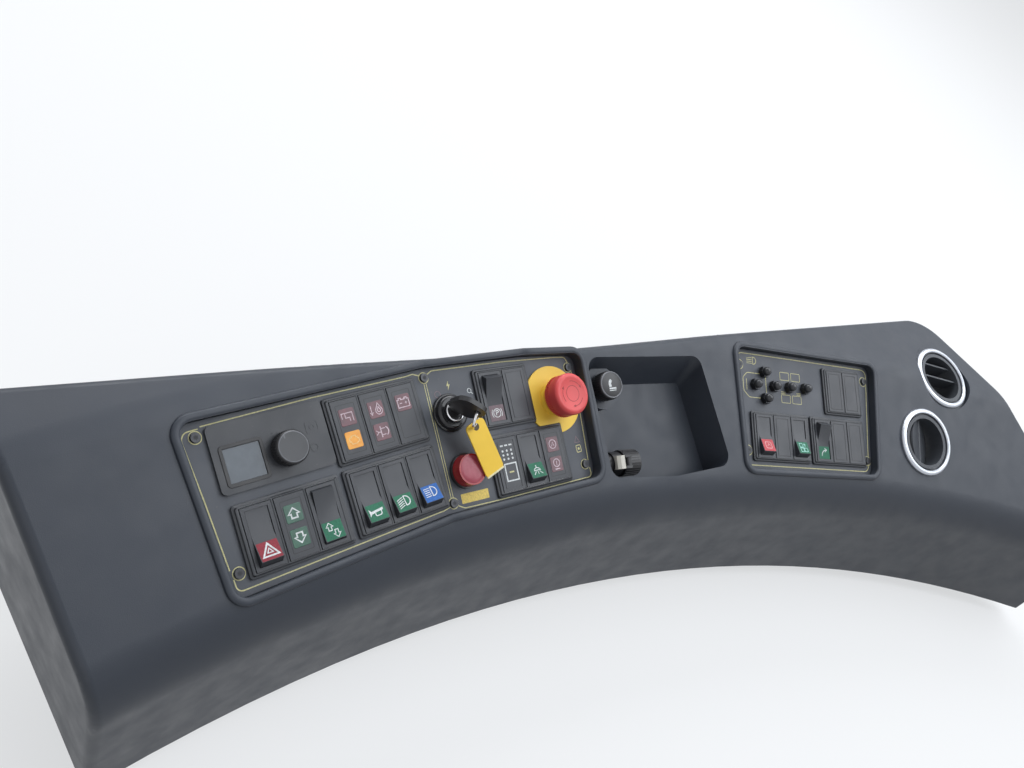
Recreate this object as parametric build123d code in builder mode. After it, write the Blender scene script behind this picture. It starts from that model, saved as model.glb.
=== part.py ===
"""Dashboard console of a forwarder cab: a moulded shell swept in an arc about the driver,
with two instrument panels, a storage tray, warm-air outlets and their switches.

Millimetres. X runs to the driver's right along the wall, Y away from the driver, Z up.
The origin is the centre of the four wall bolts, on the rear face."""
import os
from math import atan, cos, degrees, hypot, radians, sin, sqrt, tan

from build123d import *

os.makedirs("parts", exist_ok=True)

# Plan of the console: everything is swept about a vertical axis near the driver
SWEEP_R = 1584.0          # datum circle, where the top face is at height 0
LEFT_AZIMUTH = -14.4      # left end, a radial cut
RIGHT_CORNER_X = 603.9    # where the rear face and the right end would meet
RIGHT_END_FLARE = 0.397   # the right end runs outwards by this much per mm towards the driver
CORNER_R = 50.0           # rounding of that corner, seen from above
BOLT_X = 91.0             # wall bolts' centre, along the rear face from the sweep axis
BOLT_DROP = 50.0          # wall bolts' centre below the datum circle

# Section of the console, radius and height
TOP_SLOPE = 24.5          # the top face falls towards the driver by this angle
LEDGE_Z = 31.0            # flat ledge behind the panels
LEDGE_BEND_R = 52.0
NOSE_R = 50.0
SKIRT_DRAFT = 5.0
SKIRT_Z = -165.0          # lower edge of the skirt
REAR_WALL_Z = -110.0      # lower edge of the rear wall
WALL = 4.0
EDGE_R = 7.0              # rounding of the top edge at the rear face and both ends
RIB_DEPTH = 20.0
RIB_THICK = 3.0
RIB_AZIMUTHS = (-12.9, 7.92, 16.35, 22.5)

# Wall fixing
BOLT_SPACING_X = 640.0
BOLT_SPACING_Z = 40.0
BOLT_HOLE_R = 4.5
RAIL_LENGTH = 800.0
RAIL_HEIGHT = 64.0
RAIL_FOOT = 40.0
RAIL_THICK = 3.0

# Panels, each flat and let into the top face
PLATE_THICK = 2.5
PLATE_CORNER_R = 9.0
PLATE_GAP = 0.4
LEDGE_WIDTH = 6.0         # the plate rests on a ledge this wide
LIP_WIDTH = 5.0
LIP_RISE = 2.2            # the moulded lip stands this far out of the top face
LEFT_PANEL_AZIMUTH = -5.76
LEFT_PANEL_SINK = 3.0
RIGHT_PANEL_AZIMUTH = 12.17
RIGHT_PANEL_SINK = 5.5
SCREW_HEAD_R = 3.4
SCREW_HEAD_H = 2.0
SCREW_HOLE_R = 2.0

# Switch modules in snap-in frames
PITCH = 24.2
FRAME_LENGTH = 51.0
FRAME_RIM = 3.7           # rim beside the first and last module
FRAME_BASE_H = 2.2
FRAME_H = 3.5
FRAME_STEP = 2.0
FRAME_END = 3.5           # rim above and below the modules
MODULE_W = 22.0
MODULE_L = FRAME_LENGTH - 2 * FRAME_END
MODULE_H = 3.9            # top of a module above the plate
MODULE_GAP = 0.2
MODULE_DEPTH = 21.0
SECTION_TURN = 2.67       # the left panel's two sections are turned against each other
CUTOUT_MARGIN = 2.2       # frame rim resting on the plate round its cut-out
ROW = FRAME_LENGTH / 2    # a panel holds two rows of frames, above and below its middle

# Two rows of frames set the panels' outlines and the console's depth
REAR_DIST = SWEEP_R + FRAME_LENGTH + 15      # sweep axis to the straight rear face
NOSE_START_R = SWEEP_R - FRAME_LENGTH + 1    # where the top face starts to roll over
LEFT_OUTLINE = ((-144, FRAME_LENGTH + 5), (50, FRAME_LENGTH + 13), (150, FRAME_LENGTH + 7.8),
                (208.5, FRAME_LENGTH + 0.6), (198, -FRAME_LENGTH - 7), (44, -FRAME_LENGTH - 0.5),
                (-130.5, -FRAME_LENGTH - 13))
RIGHT_OUTLINE = ((-105, FRAME_LENGTH + 18.5), (94.5, FRAME_LENGTH + 17), (84, -FRAME_LENGTH - 3),
                 (-99.5, -FRAME_LENGTH - 3.5))
LEFT_SCREWS = ((-132, FRAME_LENGTH - 5), (50.5, FRAME_LENGTH + 5.5), (49.0, -FRAME_LENGTH + 6.5),
               (-124.5, -FRAME_LENGTH + 3.5), (199.5, FRAME_LENGTH - 9.5), (190.5, -FRAME_LENGTH + 5.9))
RIGHT_SCREWS = ((-96.9, FRAME_LENGTH + 1.9), (84.9, FRAME_LENGTH - 0.3), (79.3, -FRAME_LENGTH + 12.5),
                (-92.5, -FRAME_LENGTH + 15.5))

# Rockers
ROCKER_W = 15.9
ROCKER_HALF = MODULE_L / 2 - 4    # pivot plane to the end of the face
ROCKER_END_RISE = 2.6     # end of the face above the module when level
ROCKER_DIP = -0.6         # middle of the face
PIVOT_DEPTH = 7.0         # pivot below the module's top
PIVOT_R = 1.5
PIVOT_REACH = 1.5
PIVOT_GAP = 0.05
ROCKER_GAP = 0.35
ROCKER_BELLY = 2.0        # underside below the pivot
POCKET_BELLY = 6.0

# Lenses in the lamp modules
LENS_SIDE = 17.0
LENS_OFFSET = 10.3
LENS_RISE = 0.3
LENS_SEAT = 1.2

# Heater control, left of the lamps
HEATER = (-82.5, 29.5)
HEATER_SIZE = (85.0, 48.0)
HEATER_H = 2.5
DISPLAY_OFFSET = (-22.0, -5.5)
DISPLAY_SIZE = (26.0, 24.0)
KNOB = (9.3, -4.4)        # in the heater plate
KNOB_R = 12.3
KNOB_TOP_R = 9.8
KNOB_SHOULDER = 3.0
KNOB_H = 13.5
KNOB_GAP = 0.5
SHAFT_R = 3.0
FIT_GAP = 0.05            # radial clearance of a turning shaft

# Ignition lock and its key
LOCK = (66.0, 25.0)
LOCK_R = 15.3
LOCK_H = 7.0
LOCK_FACE_R = 10.0
LOCK_BODY_R = 12.0
LOCK_DEPTH = 32.0
PLUG_R = 8.3
PLUG_H = 9.0
KEY_TURN = -39.0          # direction of the bow, seen from the front
KEY_T = 2.2
BOW_T = 4.0
BOW_W = 26.0
BOW_H = 28.0
BOW_FOOT = 13.0           # bow starts this far above the plate
BOW_HOLE = (7.0, 19.0)    # across and above the bow's foot
BOW_HOLE_R = 3.0
RING_R = 8.0
RING_WIRE_R = 0.8
RING_WAY = (0.5, -0.75, 0.43)   # the ring hangs this way from the hole: across, along and out of the bow
TAG_L = 46.0
TAG_W = 19.5
TAG_T = 1.2
TAG_WAY = (13.2, -42.2, -7.0)   # the tag lies this way from the ring, on the panel
TAG_OVERLAP = 3.0         # the ring runs this far inside the tag's end

# Emergency stop
STOP = (173.0, 16.8)
STOP_PLATE_R = 29.5
STOP_PLATE_T = 1.5
STOP_COLLAR_R = 14.5
STOP_COLLAR_H = 7.0
STOP_CAP_R = 19.5
STOP_CAP_EDGE_R = 3.0
STOP_CAP_H = 12.0
STOP_STROKE = 4.0
STOP_STEM_R = 8.0
STOP_BODY_R = 11.0
STOP_DEPTH = 40.0

# Red lamp
LAMP = (66.5, -22.5)
LAMP_R = 13.0
LAMP_H = 12.0
LAMP_BEZEL_R = 14.0
LAMP_BEZEL_H = 3.0
LAMP_BODY_R = 11.0
LAMP_DEPTH = 26.0

# Push buttons on the right panel
BUTTONS = ((-78, 33), (-65, 47), (-65, 19), (-52, 33), (-30.5, 33.5), (-8, 34))
BUTTON_R = 6.2
BUTTON_NUT_H = 5.0
BUTTON_DOME_R = 4.6
BUTTON_DOME_H = 10.5
BUTTON_STEM_R = 4.0
BUTTON_DEPTH = 18.0

# Storage tray
TRAY_AZIMUTH = 4.3
TRAY_OUTLINE = ((-71, 58.3), (68, 58.7), (88.5, -50), (18, -55.5), (-58.5, -51.5))
TRAY_CORNER_R = 12.0
TRAY_DEPTH = 30.0
TRAY_INSET = 6.0          # the floor is this much smaller all round
TRAY_SHIFT = 15.0         # and lies this far down the slope, as it is drawn straight down
TRAY_WALL = 3.0
LIGHTER = (-48.0, 32.0)
LIGHTER_TURRET_R = 20.0
LIGHTER_TURRET_TOP = -12.0    # top of the turret, from the top face
LIGHTER_BORE_R = 9.0
LIGHTER_R = 11.5
LIGHTER_H = 15.0
LIGHTER_GAP = 0.4
LIGHTER_STEM_R = 8.6
LIGHTER_STEM_L = 20.0
LIGHTER_SLEEVE_L = 26.0
SOCKET = (-38.0, -16.0)   # its axis: up the slope and above the top face
SOCKET_START_U = -68.0
SOCKET_END_U = -36.0
SOCKET_R = 9.5
SOCKET_BORE_R = 8.0
SOCKET_BORE_L = 24.0
COLLAR_U = (-50.0, -40.0)
COLLAR_R = 11.0
CAP_U = (-38.0, -20.0)
CAP_R = 12.0
CAP_WALL = 2.0
HINGE_U = -37.5           # the cap's hinge pin, beyond the collar
HINGE_RISE = 14.3         # hinge pin above the socket's axis
BRACKET_BLOCK = (-50.0, -42.5)   # the cap's bracket sits on the collar along this stretch
HINGE_R = 2.1
HINGE_PIN_R = 1.0
KNUCKLE_HALF = 3.8
LUG_HALF = 6.0
LUG_GAP = 0.2

# Warm-air outlets
VENTS = (  # name, azimuth, radius, tilt, lift, height above the datum circle
    ("rear", 19.7, 1659.0, 12.5, -6.0, LEDGE_Z),
    ("front", 18.25, 1579.0, TOP_SLOPE, 0.0, None),
)
VENT_R = 38.5
VENT_RING_W = 5.5
VENT_RING_H = 4.0
VENT_RING_EDGE = 3.0      # rounding of the ring's outer edge
VENT_THROAT_R = 33.0
VENT_BALL_R = 31.0
VENT_BALL_WALL = 4.0
VENT_BALL_GAP = 0.4
VENT_BLADES = (17.0, 1.0)    # blades of the rear outlet, above its middle
VENT_BLADE_T = 1.8
FLAP_TILT = 25.0          # flap of the front outlet, its right edge inwards
FLAP_SINK = 9.0
FLAP_T = 2.0
FLAP_GAP = 0.8
DUCT_R = 30.0
DUCT_WALL = 2.0
DUCT_LENGTH = 30.0
VENT_DEPTH = 26.0

slope = radians(TOP_SLOPE)
sweep_foot = Vector(-BOLT_X, -REAR_DIST, BOLT_DROP)
UP = Vector(0, 0, 1)


def along(azimuth):
    """Level direction away from the driver at an azimuth, clockwise from +Y."""
    return Vector(sin(radians(azimuth)), cos(radians(azimuth)), 0)


def face_plane(azimuth, radius=SWEEP_R, tilt=TOP_SLOPE, lift=0.0, height=None):
    """Plane on the top face: x to the right, y up the slope, z out of the face."""
    away = along(azimuth)
    right = Vector(away.Y, -away.X, 0)
    normal = UP * cos(radians(tilt)) - away * sin(radians(tilt))
    level = (radius - SWEEP_R) * tan(slope) if height is None else height
    origin = sweep_foot + away * radius + UP * level + normal * lift
    return Plane(origin=origin, x_dir=right, z_dir=normal)


def seat(panel, u, v, turn=0.0):
    """Plane on a panel at u, v, turned anticlockwise."""
    t = radians(turn)
    return Plane(origin=panel.from_local_coords((u, v, 0)),
                 x_dir=panel.x_dir * cos(t) + panel.y_dir * sin(t), z_dir=panel.z_dir)


def side_plane(place):
    """The plane across a seat that holds its y and z: local x is y, local y is z."""
    return Plane(origin=place.origin, x_dir=place.y_dir, z_dir=place.x_dir)


def save(piece, label):
    piece.part.label = label
    export_step(piece.part, f"parts/{label}.step")


left_panel_plane = face_plane(LEFT_PANEL_AZIMUTH, lift=-LEFT_PANEL_SINK)
right_panel_plane = face_plane(RIGHT_PANEL_AZIMUTH, lift=-RIGHT_PANEL_SINK)
tray_plane = face_plane(TRAY_AZIMUTH)

# Moulded shell
SECTION_REACH = 1960.0


def section_points(inset):
    """Key points of the section, all surfaces moved inwards by inset."""
    nose = (NOSE_START_R + NOSE_R * sin(slope),
            (NOSE_START_R - SWEEP_R) * tan(slope) - NOSE_R * cos(slope))
    draft = radians(SKIRT_DRAFT)
    r = NOSE_R - inset
    skirt_top = (nose[0] - r * cos(draft), nose[1] + r * sin(draft))
    mid = radians((TOP_SLOPE + 90 - SKIRT_DRAFT) / 2)
    nose_mid = (nose[0] - r * sin(mid), nose[1] + r * cos(mid))
    nose_top = (nose[0] - r * sin(slope), nose[1] + r * cos(slope))
    bend = (SWEEP_R + LEDGE_Z / tan(slope) + LEDGE_BEND_R * tan(slope / 2), LEDGE_Z - LEDGE_BEND_R)
    b = LEDGE_BEND_R - inset
    bend_low = (bend[0] - b * sin(slope), bend[1] + b * cos(slope))
    bend_mid = (bend[0] - b * sin(slope / 2), bend[1] + b * cos(slope / 2))
    bend_top = (bend[0], bend[1] + b)
    return skirt_top, nose_mid, nose_top, bend_low, bend_mid, bend_top


def swept_section(inset, below=0.0):
    """Solid under the section, swept past both ends of the console."""
    skirt_top, nose_mid, nose_top, bend_low, bend_mid, bend_top = section_points(inset)
    draft = radians(SKIRT_DRAFT)
    floor_z = SKIRT_Z - below
    skirt_foot = (skirt_top[0] - (skirt_top[1] - floor_z) * tan(draft), floor_z)
    rise = (REAR_WALL_Z - SKIRT_Z) / (REAR_DIST - skirt_foot[0])
    start = along(32.0)
    with BuildPart() as swept:
        with BuildSketch(Plane(origin=sweep_foot, x_dir=start, z_dir=start.cross(UP))):
            with BuildLine():
                Polyline((SECTION_REACH, floor_z + rise * (SECTION_REACH - skirt_foot[0])),
                         skirt_foot, skirt_top)
                ThreePointArc(skirt_top, nose_mid, nose_top)
                Line(nose_top, bend_low)
                ThreePointArc(bend_low, bend_mid, bend_top)
                Polyline(bend_top, (SECTION_REACH, bend_top[1]),
                         (SECTION_REACH, floor_z + rise * (SECTION_REACH - skirt_foot[0])))
            make_face()
        revolve(axis=Axis(sweep_foot, UP), revolution_arc=50.0)
    return swept.part


def plan_prism(inset):
    """Prism of the console's plan, from well below to well above."""
    def edge_x(y):
        return RIGHT_CORNER_X + (REAR_DIST - y) * RIGHT_END_FLARE
    near, far = 1250.0, REAR_DIST
    points = [(near * tan(radians(LEFT_AZIMUTH)), near), (far * tan(radians(LEFT_AZIMUTH)), far),
              (edge_x(far), far), (edge_x(near), near)]
    with BuildPart() as prism:
        with BuildSketch(Plane(sweep_foot - UP * 300)) as plan:
            with BuildLine():
                Polyline(*points, close=True)
            make_face()
            corner = plan.vertices().sort_by(Axis.Y)[-2:].sort_by(Axis.X)[-1]
            fillet(corner, CORNER_R)
            if inset:
                offset(amount=-inset, mode=Mode.REPLACE)
        extrude(amount=500)
    return prism.part


def outline_prism(place, points, corner_r, low, high, grow=0.0):
    """Rounded outline on a plane, grown by an amount, from low to high above it."""
    with BuildPart() as prism:
        with BuildSketch(place.offset(low)) as sketch:
            with BuildLine():
                Polyline(*points, close=True)
            make_face()
            fillet(sketch.vertices(), corner_r)
            if grow:
                offset(amount=grow, mode=Mode.REPLACE)
        extrude(amount=high - low)
    return prism.part


PANELS = (  # plane, outline
    (left_panel_plane, LEFT_OUTLINE),
    (right_panel_plane, RIGHT_OUTLINE),
)
lip_body = swept_section(-LIP_RISE)
whole_plan = plan_prism(0.0)


def rounded_rim(body, radius):
    """The body with its upper edges rounded along the rear face and both ends."""
    with BuildPart() as made:
        add(body)
        sides = [face for face in made.faces() if abs(face.normal_at().Z) < 1e-6]
        floor = made.faces().sort_by(lambda face: face.normal_at().Z)[0]
        rim = [edge for side in sides for edge in side.edges()
               if abs(edge.tangent_at(0.5).Z) < 0.9999 and not any(edge.is_same(low) for low in floor.edges())]
        fillet(rim, radius)
    return made.part


outer_body = rounded_rim(swept_section(0.0) & whole_plan, EDGE_R)
under_body = swept_section(WALL, below=20.0) & plan_prism(WALL)
ledge_bottom = -(PLATE_THICK + WALL)


def tray_outline(place, grow, shift=0.0):
    with BuildSketch(seat(place, 0, -shift)) as outline:
        with BuildLine():
            Polyline(*TRAY_OUTLINE, close=True)
        make_face()
        fillet(outline.vertices(), TRAY_CORNER_R)
        if grow:
            offset(amount=grow, mode=Mode.REPLACE)
    return outline.sketch.face()


def tray_solid(grow, depth, above):
    """The tray's cavity, or its outer form when grown: it sinks straight down, narrowing a little."""
    mouth = tray_outline(tray_plane, grow)
    share = depth / TRAY_DEPTH
    floor = tray_outline(tray_plane.offset(-depth), grow - TRAY_INSET * share, TRAY_SHIFT * share)
    with BuildPart() as tray:
        loft(sections=[mouth, floor])
        if above:
            extrude(mouth, amount=above)
    return tray.part


def disc(place, radius, low, high):
    with BuildPart() as body:
        with BuildSketch(place.offset(low)):
            Circle(radius)
        extrude(amount=high - low)
    return body.part


lighter_seat = seat(tray_plane, *LIGHTER)
vent_planes = [face_plane(*row) for name, *row in VENTS]
socket_plane = Plane(origin=tray_plane.from_local_coords((0, SOCKET[0], SOCKET[1])),
                     x_dir=tray_plane.y_dir, z_dir=tray_plane.x_dir)
rear_wall_plane = Plane(origin=(0, 0, 0), x_dir=(1, 0, 0), z_dir=(0, -1, 0))
bolt_corners = [(i * BOLT_SPACING_X / 2, j * BOLT_SPACING_Z / 2) for i in (-1, 1) for j in (-1, 1)]

# Switch frames: name, panel, centre u and v, turn, modules from left to right
# A module is (kind, name or lens colours, tilt): tilt -1 has the lower end out, 1 the upper end, 0 level
FRAMES = (
    ("turn_signal_frame", left_panel_plane, -79.9, -ROW - 1.7, SECTION_TURN,
     (("rocker", "hazard_rocker", -1), ("lamps", "green green", 0), ("rocker", "direction_rocker", 0))),
    ("lighting_frame", left_panel_plane, 3.5, -ROW + 2.6, SECTION_TURN,
     (("rocker", "horn_rocker", -1), ("rocker", "headlamp_rocker", -1), ("rocker", "main_beam_rocker", -1))),
    ("warning_lamp_frame", left_panel_plane, 1.2, ROW + 5.5, SECTION_TURN,
     (("lamps", "red amber", 0), ("lamps", "red red", 0), ("lamps", "red none", 0))),
    ("brake_frame", left_panel_plane, 122.2, ROW + 2.9, -SECTION_TURN,
     (("rocker", "brake_rocker", 1), ("blank", "", 0))),
    ("work_mode_frame", left_panel_plane, 132.4, -ROW - 2.4, -SECTION_TURN,
     (("blank", "", 0), ("rocker", "work_lamp_rocker", -1), ("lamps", "red red", 0))),
    ("blank_frame", right_panel_plane, 47.2, ROW + 9, 0.0,
     (("blank", "", 0), ("blank", "", 0))),
    ("hydraulics_frame", right_panel_plane, -47.5, -ROW + 5, 0.0,
     (("rocker", "release_rocker", -1), ("blank", "", 0), ("rocker", "crane_rocker", -1))),
    ("crane_lamp_frame", right_panel_plane, 35.0, -ROW + 5, 0.0,
     (("rocker", "boom_lamp_rocker", 1), ("blank", "", 0), ("blank", "", 0))),
)


def frame_width(count):
    return count * PITCH + 2 * FRAME_RIM


modules = []
frame_seats = []
for name, panel, u, v, turn, row in FRAMES:
    place = seat(panel, u, v, turn)
    frame_seats.append((name, place, len(row)))
    for i, (kind, detail, tilt) in enumerate(row):
        modules.append((kind, detail, tilt, seat(place, (i - (len(row) - 1) / 2) * PITCH, 0)))


with BuildPart() as console_shell:
    add(outer_body)
    add(under_body, mode=Mode.SUBTRACT)
    for azimuth in RIB_AZIMUTHS:
        # a moulded rib under the top face, from the skirt to the rear wall
        with BuildPart(mode=Mode.PRIVATE) as rib:
            with BuildSketch(Plane(origin=sweep_foot, x_dir=along(azimuth), z_dir=(UP.cross(along(azimuth))))):
                with Locations((SWEEP_R, 0)):
                    Rectangle(400, 600)
            extrude(amount=RIB_THICK / 2, both=True)
        slab = rib.part & plan_prism(WALL / 2) & swept_section(WALL / 2)
        add(slab - swept_section(WALL + RIB_DEPTH, below=40.0))
    # raised lips and plate ledges
    for place, points in PANELS:
        grown = PLATE_GAP + LIP_WIDTH
        add(outline_prism(place, points, PLATE_CORNER_R, ledge_bottom, 20, grown) & lip_body & whole_plan)
    # tray walls and vent pads hang under the top face
    add(tray_solid(TRAY_WALL, TRAY_DEPTH + TRAY_WALL, 0.0) & outer_body)
    for place in vent_planes:
        add(disc(place, VENT_R + 2.5, -VENT_DEPTH * 0.45, 0.0))
        add(disc(place, VENT_R + 2.5, 0.0, 25.0), mode=Mode.SUBTRACT)
        add(disc(place, VENT_THROAT_R, -40.0, 5.0), mode=Mode.SUBTRACT)
    for place, points in PANELS:
        add(outline_prism(place, points, PLATE_CORNER_R, -PLATE_THICK, 25, PLATE_GAP), mode=Mode.SUBTRACT)
        add(outline_prism(place, points, PLATE_CORNER_R, ledge_bottom - 1, 1, -LEDGE_WIDTH), mode=Mode.SUBTRACT)
    for frame_name, frame_seat, count in frame_seats:
        # the switches reach past the ledge under the plate
        with BuildSketch(frame_seat):
            Rectangle(frame_width(count) - 2 * CUTOUT_MARGIN, FRAME_LENGTH - 2 * CUTOUT_MARGIN)
        extrude(amount=ledge_bottom - 1, mode=Mode.SUBTRACT)
    add(tray_solid(0.0, TRAY_DEPTH, 20.0), mode=Mode.SUBTRACT)
    add(disc(lighter_seat, LIGHTER_TURRET_R, -TRAY_DEPTH - TRAY_WALL, LIGHTER_TURRET_TOP))
    add(disc(lighter_seat, LIGHTER_BORE_R, -TRAY_DEPTH - 20, LIGHTER_TURRET_TOP), mode=Mode.SUBTRACT)
    add(disc(socket_plane, SOCKET_R + PLATE_GAP, SOCKET_START_U, SOCKET_END_U), mode=Mode.SUBTRACT)
    with BuildSketch(rear_wall_plane):
        with Locations(*bolt_corners):
            Circle(BOLT_HOLE_R)
    extrude(amount=WALL + 1, mode=Mode.SUBTRACT)
save(console_shell, "console_shell")


# Wall rail inside the rear face
with BuildPart() as wall_rail:
    with BuildSketch(Plane(origin=(RAIL_LENGTH / 2, -WALL, 0), x_dir=(0, -1, 0), z_dir=(-1, 0, 0))) as angle:
        with BuildLine():
            top, foot = RAIL_HEIGHT / 2, -RAIL_HEIGHT / 2
            Polyline((0, foot), (0, top), (RAIL_THICK, top), (RAIL_THICK, foot + RAIL_THICK),
                     (RAIL_FOOT, foot + RAIL_THICK), (RAIL_FOOT, foot), (0, foot))
        make_face()
    extrude(amount=RAIL_LENGTH)
    with BuildSketch(rear_wall_plane):
        with Locations(*bolt_corners):
            Circle(BOLT_HOLE_R)
    extrude(amount=WALL + RAIL_THICK + 1, mode=Mode.SUBTRACT)
save(wall_rail, "wall_rail")


module_w = MODULE_W + 2 * MODULE_GAP
module_l = MODULE_L + 2 * MODULE_GAP
for name, place, count in frame_seats:
    width = frame_width(count)
    with BuildPart() as frame:
        with BuildSketch(place):
            RectangleRounded(width, FRAME_LENGTH, 2.5)
        extrude(amount=FRAME_BASE_H)
        with BuildSketch(place.offset(FRAME_BASE_H)):
            RectangleRounded(width - 2 * FRAME_STEP, FRAME_LENGTH - 2 * FRAME_STEP, 1.5)
        extrude(amount=FRAME_H - FRAME_BASE_H)
        with BuildSketch(place):
            with GridLocations(PITCH, 1, count, 1):
                Rectangle(module_w, module_l)
        extrude(amount=FRAME_H + 1, mode=Mode.SUBTRACT)
    save(frame, name)

# Panel plates with the cut-outs for their frames
LEFT_HOLES = (  # centre, radius
    (LOCK, LOCK_BODY_R), (LAMP, LAMP_BODY_R), (STOP, STOP_BODY_R),
)
for name, place, points, screws, holes in (
        ("left_panel", left_panel_plane, LEFT_OUTLINE, LEFT_SCREWS, LEFT_HOLES),
        ("right_panel", right_panel_plane, RIGHT_OUTLINE, RIGHT_SCREWS,
         tuple((spot, BUTTON_STEM_R) for spot in BUTTONS))):
    with BuildPart() as plate:
        add(outline_prism(place, points, PLATE_CORNER_R, -PLATE_THICK, 0))
        for frame_name, frame_seat, count in frame_seats:
            with BuildSketch(frame_seat):
                Rectangle(frame_width(count) - 2 * CUTOUT_MARGIN, FRAME_LENGTH - 2 * CUTOUT_MARGIN)
            extrude(amount=-PLATE_THICK, mode=Mode.SUBTRACT)
        for spot, radius in holes + tuple((spot, SCREW_HOLE_R) for spot in screws):
            with BuildSketch(seat(place, *spot)):
                Circle(radius + PLATE_GAP)
            extrude(amount=-PLATE_THICK, mode=Mode.SUBTRACT)
        if name == "left_panel":
            with BuildSketch(seat(seat(place, *HEATER, SECTION_TURN), *KNOB)):
                Circle(SHAFT_R + 1)
            extrude(amount=-PLATE_THICK, mode=Mode.SUBTRACT)
    save(plate, name)

# Rockers and the sockets they turn in
rocker_angle = degrees(atan((ROCKER_END_RISE - ROCKER_DIP) / ROCKER_HALF))
sweep_r = hypot(ROCKER_HALF, ROCKER_END_RISE + PIVOT_DEPTH)
pocket_r = sweep_r + ROCKER_GAP
pivot_h = MODULE_H - PIVOT_DEPTH


def pivot_plane(place, tilt):
    """Plane across a rocker through its pivot: local x runs up the slope, y out of the panel."""
    across = side_plane(place.offset(pivot_h))
    t = radians(tilt * rocker_angle)
    return Plane(origin=across.origin, x_dir=across.x_dir * cos(t) + across.y_dir * sin(t), z_dir=across.z_dir)


with BuildPart() as switch_sockets:
    for kind, detail, tilt, place in modules:
        if kind != "rocker":
            continue
        with BuildSketch(place.offset(MODULE_H - MODULE_DEPTH)):
            Rectangle(MODULE_W, MODULE_L)
        extrude(amount=MODULE_DEPTH)
        across = pivot_plane(place, 0)
        with BuildSketch(across):
            Circle(pocket_r)
            with Locations((0, -POCKET_BELLY - pocket_r)):
                Rectangle(4 * pocket_r, 2 * pocket_r, mode=Mode.SUBTRACT)
        extrude(amount=ROCKER_W / 2 + ROCKER_GAP, both=True, mode=Mode.SUBTRACT)
        with BuildSketch(across):
            Circle(PIVOT_R + PIVOT_GAP)
        extrude(amount=ROCKER_W / 2 + PIVOT_REACH + ROCKER_GAP, both=True, mode=Mode.SUBTRACT)
save(switch_sockets, "switch_sockets")

for kind, detail, tilt, place in modules:
    if kind != "rocker":
        continue
    with BuildPart() as rocker:
        across = pivot_plane(place, tilt)
        end = (ROCKER_HALF, ROCKER_END_RISE + PIVOT_DEPTH)
        low = (sqrt(sweep_r ** 2 - ROCKER_BELLY ** 2), ROCKER_BELLY)
        mid_h = (end[1] + low[1]) / 2
        mid = (sqrt(sweep_r ** 2 - mid_h ** 2), mid_h)
        with BuildSketch(across):
            with BuildLine():
                Polyline((-end[0], end[1]), (0, ROCKER_DIP + PIVOT_DEPTH), end)
                ThreePointArc(end, mid, low)
                Polyline(low, (0, -ROCKER_BELLY), (-low[0], low[1]))
                ThreePointArc((-low[0], low[1]), (-mid[0], mid[1]), (-end[0], end[1]))
            make_face()
        extrude(amount=ROCKER_W / 2, both=True)
        with BuildSketch(across):
            Circle(PIVOT_R)
        extrude(amount=ROCKER_W / 2 + PIVOT_REACH, both=True)
    save(rocker, detail)

# Lamp modules, their lenses and the blanks
LENS_NODES = {"red": "red_lenses", "amber": "amber_lens", "green": "green_lenses"}
with BuildPart() as lamp_modules:
    for kind, detail, tilt, place in modules:
        if kind != "lamps":
            continue
        with BuildSketch(place.offset(MODULE_H - MODULE_DEPTH)):
            Rectangle(MODULE_W, MODULE_L)
        extrude(amount=MODULE_DEPTH)
        for colour, side in zip(detail.split(), (1, -1)):
            if colour != "none":
                with BuildSketch(seat(place, 0, side * LENS_OFFSET).offset(MODULE_H - LENS_SEAT)):
                    Rectangle(LENS_SIDE + 2 * MODULE_GAP, LENS_SIDE + 2 * MODULE_GAP)
                extrude(amount=LENS_SEAT + 1, mode=Mode.SUBTRACT)
save(lamp_modules, "lamp_modules")
for colour, node in LENS_NODES.items():
    with BuildPart() as lenses:
        for kind, detail, tilt, place in modules:
            if kind == "lamps":
                for tone, side in zip(detail.split(), (1, -1)):
                    if tone == colour:
                        with BuildSketch(seat(place, 0, side * LENS_OFFSET).offset(MODULE_H - LENS_SEAT)):
                            RectangleRounded(LENS_SIDE, LENS_SIDE, 0.8)
                        extrude(amount=LENS_SEAT + LENS_RISE)
    save(lenses, node)
with BuildPart() as blank_modules:
    for kind, detail, tilt, place in modules:
        if kind == "blank":
            with BuildSketch(place.offset(MODULE_H - MODULE_DEPTH / 3)):
                Rectangle(MODULE_W, MODULE_L)
            extrude(amount=MODULE_DEPTH / 3)
            with BuildSketch(place.offset(MODULE_H)):
                Rectangle(ROCKER_W + 0.8, MODULE_L - 5)
                Rectangle(ROCKER_W, MODULE_L - 5.8, mode=Mode.SUBTRACT)
            extrude(amount=-0.5, mode=Mode.SUBTRACT)
save(blank_modules, "blank_modules")

# Heater control
heater_seat = seat(left_panel_plane, *HEATER, SECTION_TURN)
knob_seat = seat(heater_seat, *KNOB)
with BuildPart() as heater_plate:
    with BuildSketch(heater_seat):
        RectangleRounded(*HEATER_SIZE, 4)
        with Locations((KNOB[0], KNOB[1])):
            Circle(SHAFT_R + FIT_GAP, mode=Mode.SUBTRACT)
    extrude(amount=HEATER_H)
    with BuildSketch(seat(heater_seat, *DISPLAY_OFFSET).offset(HEATER_H)):
        Rectangle(*DISPLAY_SIZE)
    extrude(amount=-1.0, mode=Mode.SUBTRACT)
save(heater_plate, "heater_plate")
with BuildPart() as heater_display:
    with BuildSketch(seat(heater_seat, *DISPLAY_OFFSET).offset(HEATER_H - 1.0)):
        Rectangle(DISPLAY_SIZE[0] - 0.4, DISPLAY_SIZE[1] - 0.4)
    extrude(amount=0.8)
save(heater_display, "heater_display")
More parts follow.
